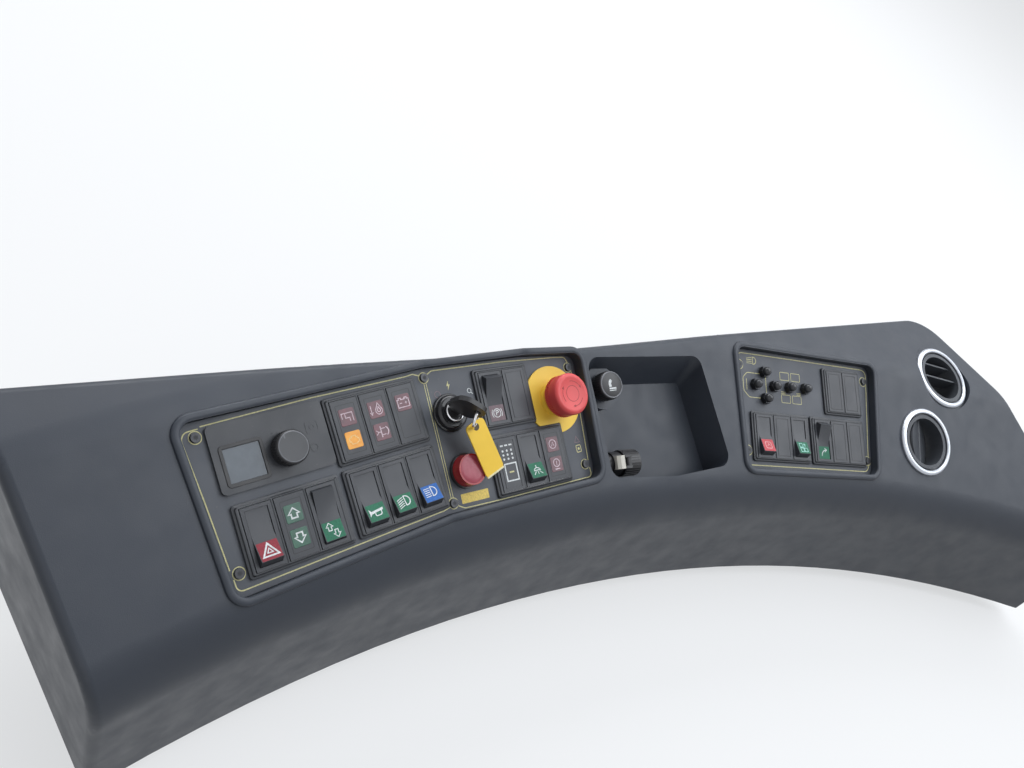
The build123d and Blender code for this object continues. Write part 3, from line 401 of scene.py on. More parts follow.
def metal(name, colour, roughness=0.25, scratch=0.1):
    """Plated metal with an uneven gloss and fine scratches."""
    material, tree, main = shader(name, colour, roughness, metallic=1.0)
    gloss = ramp(tree, noise(tree, 300.0, 6, 0.7), ((0.3, max(0.04, roughness - 0.08)), (0.7, roughness + 0.12)))
    tree.links.new(gloss, main.inputs["Roughness"])
    bump(tree, main, noise(tree, 900.0, 3), scratch, 0.00005)
    return material


def lens(name, colour, deep, roughness=0.25):
    """Tinted lens: a coloured face with a darker body showing through in patches, and a clear coat."""
    material, tree, main = shader(name, colour, roughness, coat=0.15, specular=0.35)
    tone = ramp(tree, noise(tree, 160.0, 3), ((0.35, deep), (0.7, colour)))
    tree.links.new(tone, main.inputs["Base Color"])
    main.inputs["Coat Roughness"].default_value = 0.12
    bump(tree, main, noise(tree, 500.0, 2), 0.08, 0.00005)
    return material


def printed(name, colour):
    """Screen-printed ink, slightly worn."""
    material, tree, main = shader(name, colour, 0.55, specular=0.3)
    worn = tuple(c * 0.72 for c in colour)
    tree.links.new(ramp(tree, noise(tree, 700.0, 4, 0.7), ((0.35, worn), (0.6, colour))), main.inputs["Base Color"])
    bump(tree, main, noise(tree, 1500.0, 2), 0.15, 0.00005)
    return material


SHELL = plastic("shell_charcoal", (0.031, 0.037, 0.049), 0.42, grain=0.45, grain_scale=1500, vary=0.05, dust=0.012,
                specular=0.4)
PANEL = plastic("panel_graphite", (0.066, 0.073, 0.087), 0.48, grain=0.5, grain_scale=2100, vary=0.04, dust=0.08)
FRAME_BLACK = plastic("frame_black", (0.030, 0.033, 0.039), 0.36, grain=0.3, grain_scale=2400, vary=0.06, dust=0.05)
SWITCH = plastic("switch_black", (0.037, 0.040, 0.047), 0.38, grain=0.3, grain_scale=2600, vary=0.05, dust=0.03)
# near-black paint standing for the shade in moulded grooves and screw recesses
RECESS_SHADE_BLACK = plastic("painted_recess_shade", (0.010, 0.011, 0.013), 0.5, grain=0.1)
BLACK = plastic("control_black", (0.018, 0.018, 0.020), 0.36, grain=0.25, grain_scale=2400, dust=0.04)
RUBBER = plastic("boot_rubber", (0.028, 0.030, 0.034), 0.24, grain=0.12, grain_scale=2500)
COLLAR = plastic("vent_collar", (0.052, 0.057, 0.066), 0.45, grain=0.3, grain_scale=2200, vary=0.05)
RAIL = plastic("rail_steel", (0.03, 0.03, 0.032), 0.4, grain=0.1)
STEEL = metal("plated_steel", (0.55, 0.54, 0.52), 0.25)
DARK_STEEL = metal("screw_steel", (0.055, 0.056, 0.060), 0.38)
CHROME = metal("chrome", (0.72, 0.72, 0.73), 0.10, 0.03)
SILVER = metal("ring_silver", (0.50, 0.52, 0.56), 0.36, 0.05)
RED_LENS = lens("red_lens", (0.17, 0.060, 0.075), (0.11, 0.050, 0.062))
AMBER_LENS = lens("amber_lens", (0.90, 0.40, 0.035), (0.78, 0.30, 0.02))
GREEN_LENS = lens("green_lens", (0.035, 0.125, 0.080), (0.022, 0.085, 0.055))
DISPLAY = lens("display_grey", (0.085, 0.104, 0.124), (0.070, 0.086, 0.104), 0.2)
LAMP_RED = lens("lamp_red", (0.42, 0.025, 0.03), (0.30, 0.018, 0.022), 0.18)
STOP_RED = plastic("stop_red", (0.68, 0.070, 0.070), 0.42, grain=0.15, vary=0.06, specular=0.5)
STOP_YELLOW = plastic("stop_yellow", (0.86, 0.58, 0.07), 0.5, grain=0.1, vary=0.08)
TAG_YELLOW = plastic("tag_yellow", (0.90, 0.58, 0.045), 0.38, grain=0.1, vary=0.10)
PALE = plastic("socket_pale", (0.62, 0.60, 0.53), 0.5, grain=0.1)
YELLOW_INK = printed("yellow_ink", (0.66, 0.62, 0.32))
WHITE_INK = printed("white_ink", (0.75, 0.78, 0.78))
GREEN_INK = printed("green_legend", (0.024, 0.155, 0.088))
BLUE_INK = printed("blue_legend", (0.035, 0.15, 0.48))
RED_INK = printed("red_legend", (0.28, 0.032, 0.048))
RED_BRIGHT = printed("red_bright_legend", (0.58, 0.085, 0.10))
PINK_INK = printed("pink_ink", (0.75, 0.42, 0.42))
PINK_PATCH = printed("pink_patch", (0.20, 0.145, 0.160))
MINT_INK = printed("mint_ink", (0.40, 0.75, 0.66))
DIM_INK = printed("dim_ink", (0.70, 0.56, 0.61))
FAINT_INK = printed("faint_ink", (0.24, 0.17, 0.19))
AMBER_PALE = printed("amber_pale", (0.95, 0.62, 0.24))
STRIP_YELLOW = printed("strip_yellow", (0.80, 0.61, 0.16))
CREAM = plastic("tag_cream", (0.80, 0.74, 0.46), 0.5, grain=0.1)
# dark brown for the key tag's eye: painted shade of the hole
TAG_HOLE_SHADE = plastic("tag_hole_painted_shade", (0.06, 0.045, 0.02), 0.5, grain=0.1)
# darker red for the moulded circle and arrows on the stop cap: painted shade
STOP_GROOVE_SHADE = plastic("stop_groove_painted_shade", (0.30, 0.02, 0.02), 0.5, grain=0.1)
# paler red for the lamp's top: dust together with painted sheen
LAMP_DUST_AND_SHEEN = lens("lamp_face_dust_and_sheen", (0.40, 0.085, 0.115), (0.33, 0.05, 0.075), 0.3)
# light grey for the painted highlight on the knobs' rims, and for the heater knob's pointer
KNOB_HIGHLIGHT_AND_POINTER = plastic("knob_rim", (0.15, 0.155, 0.17), 0.3, grain=0.1)
# paler grey for the heater knob's top: painted sheen
KNOB_FACE_SHEEN = plastic("knob_face_painted_sheen", (0.055, 0.057, 0.062), 0.42, grain=0.2)
GLOSS_BLACK = plastic("gloss_black", (0.012, 0.012, 0.014), 0.22, grain=0.08)

NODE_MATERIALS = {name: material for material, names in (
    (SHELL, "console_shell"), (PANEL, "left_panel right_panel"), (RAIL, "wall_rail"), (FRAME_BLACK, "heater_plate"),
    (SWITCH, "switch_sockets lamp_modules blank_modules"), (RED_LENS, "red_lenses"), (AMBER_LENS, "amber_lens"),
    (GREEN_LENS, "green_lenses"), (DISPLAY, "heater_display"), (TAG_YELLOW, "key_tag"), (LAMP_RED, "lamp_lens"),
    (BLACK, "heater_knob ignition_lock ignition_key lamp_bezel lighter_knob power_socket socket_cap"),
    (STOP_YELLOW, "stop_plate stop_body"), (STOP_RED, "stop_button"), (DARK_STEEL, "button_nuts panel_screws"),
    (RUBBER, "button_boots"), (STEEL, "lighter_sleeve"), (PALE, "cap_bracket")) for name in names.split()}
for name, obj in nodes.items():
    if name.endswith("_frame"):
        NODE_MATERIALS[name] = FRAME_BLACK
    elif name.endswith("_rocker"):
        NODE_MATERIALS[name] = SWITCH
    elif name.endswith("_vent_ring"):
        NODE_MATERIALS[name] = SILVER
    elif "_vent_" in name:
        NODE_MATERIALS[name] = COLLAR
    obj.data.materials.clear()
    obj.data.materials.append(NODE_MATERIALS[name])

# Rounded edges on the moulded parts, sharp ones on the others, and even shading on all
EDGES = {"ignition_key": 1.0, "heater_plate": 0.8, "key_tag": 0.25, "socket_cap": 1.2, "lamp_lens": 0.8,
         "ignition_lock": 0.6}
for name, obj in nodes.items():
    width = EDGES.get(name, 0.55 if name.endswith("_frame") else 0.4 if name.endswith("_rocker") else 0.0)
    obj.data.shade_smooth()
    obj.modifiers.new("joined", "WELD").merge_threshold = 0.00002
    if width:
        add_bevel(obj, width)
    else:
        obj.modifiers.new("sharp", "EDGE_SPLIT").split_angle = radians(30)
    even = obj.modifiers.new("even", "WEIGHTED_NORMAL")
    even.mode = "FACE_AREA"
    even.weight = 90
    even.keep_sharp = True


# Paths and symbols

def soft_path(points, radius, steps=5):
    """Open path with its inner corners rounded."""
    return rounded(points, [0] + [radius] * (len(points) - 2) + [0], steps)


def shifted(points, x, y, size=1.0):
    """Points scaled, then moved."""
    return [(x + size * px, y + size * py) for px, py in points]


def house(up):
    """Arrow outline: a wide head over a narrow shaft, 10.8 wide and 9.2 high."""
    points = [(0, 4.8), (5.4, -0.6), (2.8, -0.6), (2.8, -4.4), (-2.8, -4.4), (-2.8, -0.6), (-5.4, -0.6)]
    return points if up else [(x, -y) for x, y in reversed(points)]


LAMP_D = [(-0.6, 3.3)] + arc_points((0, 0), 3.3, 90, -90, 12) + [(-0.6, -3.3)]
ENGINE = [(-4.5, 2.2), (-2.2, 2.2), (-2.2, 3.6), (2.2, 3.6), (2.2, 2.2), (3.6, 2.2), (3.6, 0.8), (4.9, 0.8),
          (4.9, -2.6), (3.4, -2.6), (2.4, -3.8), (-2.6, -3.8), (-3.4, -1.4), (-4.5, -1.4)]
DROP = [(0, 4.6)] + arc_points((0, -1.2), 2.8, 40, -220, 14)
BOLT = [(0.9, 3.9), (-1.7, -0.3), (-0.2, -0.3), (-0.9, -3.9), (1.8, 0.7), (0.3, 0.7)]

# Printed lines on the two plates
ink = Draft()
LINES = (  # width, corner radius, points
    (0.85, 5.0, ((-129, 51.4), (-138.5, 50.6), (-141.2, 46), (-135.7, 4.8), (-130.0, -44.2))),
    (0.85, 5.0, ((-128.8, -50.3), (-128.0, -59.3), (-119.3, -58.7), (-3.8, -50.7), (39, -47.9), (45.0, -46.6))),
    (0.85, 3.0, ((-127.5, 52.6), (-47.1, 57.7), (34.5, 60.2), (41.5, 61.0), (46.6, 59.0))),
    (0.85, 4.0, ((54.4, 58.8), (59.2, 61.0), (129.2, 57.6), (185.3, 52.9), (198.8, 51.2), (200.6, 45.8))),
    (0.85, 4.0, ((202.4, 37.8), (199.8, -4.4), (195.2, -42.4))),
    (0.85, 7.0, ((194.6, -48.8), (195.0, -57.0), (186, -56.6), (132, -54.3), (92, -52.6), (58.4, -50.6),
                 (53.0, -47.4))),
    (0.55, 1.0, ((49.6, 51.8), (48.1, -39.8))),
    (0.55, 1.0, ((51.6, 51.8), (50.1, -39.8))),
)
for width, radius, points in LINES:
    ink.stroke(left_panel, soft_path(points, radius) if len(points) > 2 else points, width)
for spot in LEFT_SCREWS:
    ink.ring(left_panel, spot, 4.3, 0.7)
ink.prism(left_panel, shifted(BOLT, 71.2, 46.9), 0, PRINT)
ink.piece("left_panel_lines", YELLOW_INK, "panel_graphite", smooth=0)

ink = Draft()
ink.stroke(right_panel, rounded(((-100, 65.4), (90.9, 64.3), (79.7, -50.2), (-96.5, -50.3)), 7), 0.9, closed=True)
for spot in RIGHT_SCREWS:
    ink.ring(right_panel, spot, 5.1, 0.7)
# work lamp sign
ink.stroke(right_panel, shifted(LAMP_D, -77.6, 58.4, 1.15), 0.8, closed=True)
for k in range(4):
    ink.stroke(right_panel, [(-79.6, 61.6 - 2.1 * k), (-86.6, 60.2 - 1.6 * k)], 0.6)
# outline round the first button, and the squares above and below the last two
ink.stroke(right_panel, rounded(((-62, 45.2), (-87, 45.2), (-93, 40), (-93, 26), (-86, 19.5), (-62, 19.5)), 4.5),
           0.7, closed=True)
ink.stroke(right_panel, [(-88.6, 38.5), (-88.6, 27.0)], 0.6)
for x in (-35.0, -19.4):
    for y in (45.6, 21.4):
        ink.stroke(right_panel, rounded(box_points(12.6, 8.4, (x, y)), 1.0), 0.55, closed=True)
for x in (-41.2, -19.2):
    ink.stroke(right_panel, [(x, 28.6), (x + 6.0, 28.6)], 0.6)
    ink.stroke(right_panel, [(x, 27.0), (x + 6.0, 27.0)], 0.6)
ink.piece("right_panel_lines", YELLOW_INK, "panel_graphite", smooth=0)

strip = Draft()
strip.prism(seat(left_panel, 70.4, -43.9, -TURN), rounded(box_points(26.5, 7.6), 0.6), 0, 0.12)
strip.piece("left_panel_strip", STRIP_YELLOW, "panel_graphite", smooth=0)

faint = Draft()
faint.ring(left_panel, (59.4, 41.4), 2.6, 0.5)
faint.stroke(left_panel, [(57.9, 37.8), (60.9, 37.8)], 0.5)
faint.stroke(left_panel, [(188.2, -19.4), (191.2, -25.0), (185.4, -24.6)], 0.6, closed=True)
faint.piece("left_panel_faint_signs", FAINT_INK, "panel_graphite", smooth=0)

white = Draft()
white.ring(left_panel, (90.0, 39.4), 1.8, 0.5)
white.stroke(left_panel, [(91.3, 38.0), (92.8, 36.2)], 0.55)
white.piece("left_panel_white_sign", WHITE_INK, "panel_graphite", smooth=0)

tank = Draft()
tank.stroke(left_panel, rounded(box_points(5.0, 6.0, (188.0, -30.4)), 0.8), 0.7, closed=True)
tank.disc(left_panel, (188.0, -30.4), 1.2)
tank.piece("left_panel_tank_sign", YELLOW_INK, "panel_graphite", smooth=0)


# Coloured legends and their symbols on the rockers

def legend(base, face, material, draw, ink_material):
    """Coloured patch on the lower half of a rocker, with a symbol drawn on it."""
    length = FACE_HALF - 5.2
    patch = Draft()
    patch.prism(face, rounded(box_points(ROCKER_W - 1.0, length, (0, -5.0 - length / 2)), 0.5), -0.05, 0.07)
    patch.piece(f"{base}_legend", material, "switch_black", f"{base}_rocker", smooth=0)
    sign = Draft()
    draw(sign, face @ Matrix.Translation((0, -5.0 - length / 2, 0.07)))
    sign.piece(f"{base}_symbol", ink_material, "switch_black", f"{base}_rocker", smooth=0)


def draw_hazard(d, p):
    d.stroke(p, ((-5.6, -3.9), (5.6, -3.9), (0, 5.0)), 1.2, closed=True)
    d.stroke(p, ((-2.0, -1.7), (2.0, -1.7), (0, 1.4)), 0.7, closed=True)


def draw_direction(d, p):
    small = [(0, 2.9), (2.7, 0.1), (1.2, 0.1), (1.2, -2.6), (-1.2, -2.6), (-1.2, 0.1), (-2.7, 0.1)]
    d.stroke(p, shifted(small, -2.3, 2.7), 0.65, closed=True)
    d.stroke(p, shifted([(x, -y) for x, y in reversed(small)], 1.9, -2.6), 0.65, closed=True)


def draw_horn(d, p):
    d.prism(p, ((-5.8, 3.2), (-6.2, -2.6), (-4.4, -0.7), (5.2, 0.6), (5.6, 2.4), (-4.2, 1.2)), 0, PRINT)
    d.stroke(p, soft_path(((-1.6, -0.6), (-1.8, -3.0), (3.4, -2.6), (3.6, 0.6)), 1.6), 0.75)


def draw_lamp(d, p, drop):
    d.stroke(p, shifted(LAMP_D, 1.0, 1.1, 1.12), 0.8, closed=True)
    for k in range(5):
        d.stroke(p, ((-0.9, 4.2 - 1.6 * k), (-5.9, 4.2 - 1.6 * k - drop)), 0.6)


def draw_rays(d, p):
    d.stroke(p, arc_points((0, -1.4), 3.4, 20, 160, 10), 0.7, closed=True)
    for x in (-1.0, 0.0, 1.0):
        d.stroke(p, ((x * 1.8, -1.2), (x * 4.4, -3.9)), 0.6)
    d.stroke(p, ((0, 2.4), (0, 4.2)), 0.7)


def draw_parking(d, p):
    d.ring(p, (0, 0), 3.5, 0.65)
    d.stroke(p, ((-1.0, -2.0), (-1.0, 2.0), (0.6, 2.0), (1.4, 1.2), (0.6, 0.2), (-1.0, 0.2)), 0.65)
    for side in (0, 180):
        d.stroke(p, arc_points((0, 0), 5.1, side - 38, side + 38, 8), 0.65)


def draw_release(d, p):
    d.stroke(p, rounded(box_points(7.6, 7.0), 1.2), 0.8, closed=True)
    d.stroke(p, ((-1.8, -1.4), (0.4, 1.6), (2.0, -0.4)), 0.7)


def draw_crane(d, p):
    for x, y in ((-2.4, 2.6), (-2.4, -2.6), (2.6, -2.6)):
        d.stroke(p, box_points(4.2, 4.2, (x, y)), 0.7, closed=True)
    d.stroke(p, ((2.6, 0.8), (2.6, 4.4)), 0.7)
    d.stroke(p, ((1.2, 3.0), (2.6, 4.6), (4.0, 3.0)), 0.7)


def draw_boom(d, p):
    d.stroke(p, arc_points((2.6, -3.4), 6.2, 95, 180, 10), 0.9)
    d.stroke(p, ((0.6, 4.8), (3.4, 2.8), (0.8, 0.6)), 0.8)


LEGENDS = {  # rocker: patch, symbol and its ink
    "hazard": (RED_INK, draw_hazard, WHITE_INK), "direction": (GREEN_INK, draw_direction, WHITE_INK),
    "horn": (GREEN_INK, draw_horn, WHITE_INK), "headlamp": (GREEN_INK, lambda d, p: draw_lamp(d, p, 1.8), WHITE_INK),
    "main_beam": (BLUE_INK, lambda d, p: draw_lamp(d, p, 0.2), WHITE_INK),
    "brake": (PINK_PATCH, draw_parking, WHITE_INK), "work_lamp": (GREEN_INK, draw_rays, WHITE_INK),
    "release": (RED_BRIGHT, draw_release, PINK_INK), "crane": (GREEN_INK, draw_crane, MINT_INK),
    "boom_lamp": (GREEN_INK, draw_boom, WHITE_INK),
}
for frame_name, frame_row in FRAMES.items():
    for index, (kind, tilt) in enumerate(frame_row[4]):
        if kind in LEGENDS:
            legend(kind, rocker_face(frame_name, index), *LEGENDS[kind])

# Lamp modules: a moulded face with the tinted lenses in it
LENS_NODES = {"red": ("red_lenses", RED_LENS), "amber": ("amber_lens", AMBER_LENS),
              "green": ("green_lenses", GREEN_LENS)}
LENSES = {"turn_signal_frame": {1: ("green", "green")},
          "warning_lamp_frame": {0: ("red", "amber"), 1: ("red", "red"), 2: ("red", None)},
          "work_mode_frame": {2: ("red", "red")}}
module_faces, lines = Draft(), Draft()
drafts = {tone: Draft() for tone in LENS_NODES}
for frame_name, lamps in LENSES.items():
    for index, tones in lamps.items():
        place = module_seat(frame_name, index)
        module_faces.prism(place, rounded(box_points(21.4, 41.2), 0.8), MODULE_H - 0.3, MODULE_H + 0.1)
        # a raised near-black stroke as painted shade of the moulded groove round the lenses
        lines.stroke(place, rounded(box_points(15.4, 36.4), 0.8), 0.4, MODULE_H, MODULE_H + 0.15, closed=True)
        for tone, side in zip(tones, (1, -1)):
            if tone:
                drafts[tone].prism(place, rounded(box_points(LENS_SIDE, LENS_SIDE, (0, side * LENS_OFFSET)), 1.3),
                                   MODULE_H - 0.2, LENS_TOP)
module_faces.piece("lamp_module_faces", SWITCH, "switch_black", bevel=0.15)
for tone, (replaced, material) in LENS_NODES.items():
    made = drafts[tone].piece(f"{tone}_lens_faces", material, f"{tone}_lens", bevel=0.3)
    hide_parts(replaced)

# Symbols on the lenses, and on the lamp modules dark strokes as painted shade in their moulded grooves
arrows = Draft()
place = module_seat("turn_signal_frame", 1)
for side in (1, -1):
    arrows.stroke(place, shifted(house(side > 0), 0, side * LENS_OFFSET, 0.76), 1.05, *ON_LENS, closed=True)
arrows.piece("direction_arrows", WHITE_INK, "green_lens", smooth=0)

LENS_SYMBOLS = {  # frame and module: (upper lens 1 or lower lens -1, width, closed, points)
    ("warning_lamp_frame", 0): (
        (1, 0.6, False, ((-4.6, -1.0), (-4.6, 3.0), (4.2, 3.0), (4.2, -3.6))),
        (1, 0.6, False, ((-1.8, 3.0), (-1.8, -0.6), (1.6, -0.6), (1.6, -3.4)))),
    ("warning_lamp_frame", 1): (
        (1, 0.65, True, shifted(DROP, 2.2, 0)),
        (1, 0.7, True, shifted(DROP, 2.2, -0.5, 0.45)),
        (1, 0.6, False, ((-4.2, 3.6), (-4.2, -3.2))),
        (1, 0.6, False, ((-5.4, -1.6), (-4.2, -3.6), (-3.0, -1.6))),
        (-1, 0.8, False, ((-1.0, 4.2), (-1.0, -4.2))),
        (-1, 0.6, False, ((-5.2, 1.8), (-3.2, 0), (-5.2, -1.8))),
        (-1, 0.6, False, ((-3.0, 0), (-1.0, 0))),
        (-1, 0.8, False, arc_points((1.6, 0), 3.6, 60, -60, 10)),
        (-1, 0.6, False, ((-1.0, 2.4), (2.6, 2.4))),
        (-1, 0.6, False, ((-1.0, -2.4), (2.6, -2.4)))),
    ("warning_lamp_frame", 2): (
        (1, 0.7, True, ((-5.0, 2.4), (-3.6, 2.4), (-3.6, 3.6), (-1.6, 3.6), (-1.6, 2.4), (1.6, 2.4), (1.6, 3.6),
                        (3.6, 3.6), (3.6, 2.4), (5.0, 2.4), (5.0, -3.6), (-5.0, -3.6))),
        (1, 0.6, False, ((-3.2, -0.4), (-1.2, -0.4))),
        (1, 0.6, False, ((1.2, -0.4), (3.2, -0.4))),
        (1, 0.6, False, ((2.2, 0.6), (2.2, -1.4)))),
    ("work_mode_frame", 2): (
        (1, 0.75, True, arc_points((0, 0), 3.7, 0, 360, 40)[:-1]),
        (1, 0.6, False, ((-1.4, -1.8), (0.2, 1.8), (1.4, -1.8))),
        (-1, 0.75, True, arc_points((0, 1.0), 3.3, 0, 360, 40)[:-1]),
        (-1, 0.6, False, ((0, -1.0), (0, 2.6))),
        (-1, 0.9, False, ((-2.6, -4.2), (2.6, -4.2)))),
}
pale = Draft()
for (frame_name, index), strokes in LENS_SYMBOLS.items():
    for side, width, closed, points in strokes:
        pale.stroke(module_seat(frame_name, index), shifted(points, 0, side * LENS_OFFSET), width, *ON_LENS, closed)
pale.piece("warning_lamp_symbols", DIM_INK, "red_lens", smooth=0)

engine = Draft()
engine.stroke(module_seat("warning_lamp_frame", 0), shifted(ENGINE, 0, -LENS_OFFSET, 0.80), 0.7, *ON_LENS, closed=True)
engine.piece("engine_symbol", AMBER_PALE, "amber_lens", smooth=0)

lines.piece("lamp_module_groove_shade", RECESS_SHADE_BLACK, "switch_black", smooth=0)

mode = Draft()
place = module_seat("work_mode_frame", 0)
mode.stroke(place, box_points(11.6, 14.0, (0.6, -6.6)), 1.1, *ON_MODULE, closed=True)
for x in (-4.4, 0.0, 4.4):
    mode.prism(place, box_points(3.0, 1.3, (x, 15.6)), *ON_MODULE)
    for y in (11.2, 7.8, 4.4):
        mode.disc(place, (x, y), 0.95, *ON_MODULE, 16)
mode.piece("work_mode_symbols", WHITE_INK, "switch_black", smooth=0)
dash = Draft()
dash.prism(place, box_points(4.6, 1.2, (0.6, -6.6)), *ON_MODULE)
dash.piece("work_mode_dash", YELLOW_INK, "switch_black", smooth=0)

# Recesses of the panel screws, drawn as dark stars that are painted shade
recess = Draft()
for panel, screws in ((left_panel, LEFT_SCREWS), (right_panel, RIGHT_SCREWS)):
    for spot in screws:
        star = [(spot[0] + r * cos(t), spot[1] + r * sin(t))
                for r, t in ((1.9 if k % 2 else 1.25, pi * k / 6) for k in range(12))]
        recess.prism(panel, star, SCREW_TOP - 0.4, SCREW_TOP + 0.04)
recess.piece("screw_recess_painted_shade", RECESS_SHADE_BLACK, "screw_steel", smooth=0)

# Heater control: a dark frame round the display, moulded marks, the knob's top painted paler than its sides as sheen,
# a painted highlight ring on the knob's rim, and its pointer
heater = seat(left_panel, *HEATER, TURN)
knob = heater @ Matrix.Translation((*KNOB, 0))
bezel = Draft()
bezel.stroke(heater, rounded(box_points(28.6, 26.6, (-22.0, -5.5)), 1.6), 2.6, 2.3, 3.1, closed=True)
bezel.piece("display_bezel", BLACK, "heater_black", bevel=0.3)
marks = Draft()
marks.ring(heater, (29.0, -8.6), 2.7, 0.5, HEATER_FACE, HEATER_MARK + 0.05)
marks.stroke(heater, rounded(box_points(9.0, 8.0, (31.0, 6.0)), 1.0), 0.5, HEATER_FACE, HEATER_MARK, closed=True)
marks.ring(heater, (31.0, 6.0), 1.7, 0.45, HEATER_FACE, HEATER_MARK)
for t in range(-120, 121, 30):
    c, q = cos(radians(90 - t)), sin(radians(90 - t))
    marks.stroke(knob, ((14.6 * c, 14.6 * q), (16.0 * c, 16.0 * q)), 0.5, HEATER_FACE, HEATER_MARK)
marks.piece("heater_marks", FRAME_BLACK, "heater_black", smooth=0)
body = Draft()
body.spin(knob, [(0, 3.0), (11.9, 3.0), (12.1, 3.3), (12.1, 12.4), (11.8, 13.1), (11.1, 13.7), (10.6, KNOB_TOP),
                 (10.2, KNOB_TOP), (10.0, 13.7), (0, 13.7)])
for k in range(40):
    t = Matrix.Rotation(2 * pi * k / 40, 4, "Z")
    body.prism(knob @ t, ((11.9, -0.45), (12.35, -0.3), (12.45, 0), (12.35, 0.3), (11.9, 0.45)), 3.4, 12.2)
body.spin(knob, ((0, -2.5), (2.9, -2.5), (2.9, 3.2), (0, 3.2)), steps=24)
made = body.piece("heater_knob_body", BLACK, "knob_black", "heater_knob", smooth=40)
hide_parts("heater_knob")
# a light ring on the knob's rim: painted highlight
rim = Draft()
rim.spin(knob, [(r, KNOB_TOP + h) for r, h in ((10.3, -0.3), (10.9, -0.4), (11.05, 0.0), (10.8, 0.25), (10.3, 0.2))],
         closed=True)
rim.piece("heater_knob_rim_painted_highlight", KNOB_HIGHLIGHT_AND_POINTER, "knob_black", "heater_knob", smooth=60)
# the knob's top, paler than its black sides: painted sheen
face = Draft()
face.spin(knob, [(r, KNOB_TOP + h) for r, h in ((0, -0.1), (7.0, -0.05), (10.3, 0.1), (10.3, -0.35), (0, -0.35))])
face.piece("heater_knob_face", KNOB_FACE_SHEEN, "knob_black", "heater_knob", smooth=60)
pointer = Draft()
pointer.prism(knob, box_points(0.8, 2.4, (-4.6, 8.0)), KNOB_TOP - 0.2, KNOB_TOP + 0.12)
pointer.piece("heater_knob_pointer", KNOB_HIGHLIGHT_AND_POINTER, "knob_black", "heater_knob", smooth=0)

# Ignition lock: stepped bezel, chrome ring, split ring, the tag's end, and the tag's eye with its hole filled by
# painted shade
lock = seat(left_panel, *LOCK)
bezel = Draft()
bezel.spin(lock, ((12.5, 0.05), (15.1, 0.05), (15.6, 0.5), (15.6, 2.1), (15.2, 2.6), (14.2, 2.7), (14.0, 5.0),
                  (13.4, 6.2), (12.6, 6.9), (11.7, 7.35), (9.4, 7.35), (8.7, 7.0), (8.7, 6.4)), closed=True)
bezel.piece("ignition_bezel", GLOSS_BLACK, "lock_black", smooth=25)
ring = Draft()
ring.spin(lock, ((5.6, 8.8), (8.15, 8.8), (8.3, 9.1), (8.1, 9.6), (7.5, 9.9), (6.3, 9.7), (5.7, 9.3)), closed=True)
ring.piece("ignition_ring", CHROME, "key_black", "ignition_key", smooth=50)
key = seat(left_panel, *LOCK, KEY_TURN)
key_side = key @ Matrix(((1, 0, 0, 0), (0, 0, -1, 0), (0, 1, 0, 0), (0, 0, 0, 1)))
hole = key_side @ Vector(KEY_HOLE)
away = (key_side.to_3x3() @ Vector((0.5, -0.75, 0.43))).normalized()
flat = key_side.to_3x3() @ Vector((0, 0, 1))
across = (flat - away * flat.dot(away)).normalized()
loop = axes(hole + away * 8.0, away, across, away.cross(across))
ring = Draft()
ring.spin(loop, ((6.9, -0.6), (7.2, -1.0), (8.8, -1.0), (9.1, -0.6), (9.05, -0.1), (8.85, 0.0), (9.05, 0.1),
                 (9.1, 0.6), (8.8, 1.0), (7.2, 1.0), (6.9, 0.6)), closed=True)
ring.piece("split_ring", CHROME, "tag_yellow", "key_tag", smooth=35)
tag_way = (left_panel.to_3x3() @ Vector((13.2, -42.2, -7.0))).normalized()
out = left_panel.to_3x3() @ Vector((0, 0, 1))
tag_up = (out - tag_way * out.dot(tag_way)).normalized()
tag = axes(hole + away * 16.0 + tag_way * 20.0, tag_way, tag_up.cross(tag_way), tag_up)
end = Draft()
end.prism(tag, ((21.6, -9.4), (23.15, -9.2), (23.15, 9.2), (21.6, 9.4)), -0.75, 0.75)
end.piece("tag_end", CREAM, "tag_yellow", "key_tag", bevel=0.2)
# a dark ring and a dark disc filling the tag's hole: painted shade
eye = Draft()
eye.ring(tag, (-18.6, 0), 2.5, 0.9, -0.75, 0.75)
eye.disc(tag, (-18.6, 0), 2.1, -0.64, 0.64)
eye.piece("tag_eye_shade", TAG_HOLE_SHADE, "tag_yellow", "key_tag", smooth=30)

# Emergency stop: circle and turning arrows on the cap, drawn in darker red as painted shade of their moulding
stop = seat(left_panel, *STOP)
cap = Draft()
edge = [(14.9 + 3.2 * sin(radians(t)), STOP_TOP - 3.2 + 3.2 * cos(radians(t))) for t in (90, 70, 50, 30, 12, 0)]
cap.spin(stop, [(0, -2.0), (8.0, -2.0), (8.0, 11.4), (16.6, 11.4), (17.3, 11.8), (17.6, 12.8), (17.9, 20.0)] + edge
         + [(13.6, STOP_TOP), (13.1, STOP_TOP - 0.25), (0, STOP_TOP - 0.25)], steps=96)
for k in range(60):
    t = Matrix.Rotation(2 * pi * k / 60, 4, "Z")
    cap.prism(stop @ t, ((17.2, -0.35), (18.15, -0.22), (18.15, 0.22), (17.2, 0.35)), 12.6, 17.2)
made = cap.piece("stop_cap", STOP_RED, "stop_red", "stop_button", smooth=45)
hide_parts("stop_button")
marks = Draft()
mark = (STOP_TOP - 0.4, STOP_TOP - 0.2)
marks.ring(stop, (0, 0), 6.8, 0.45, *mark)
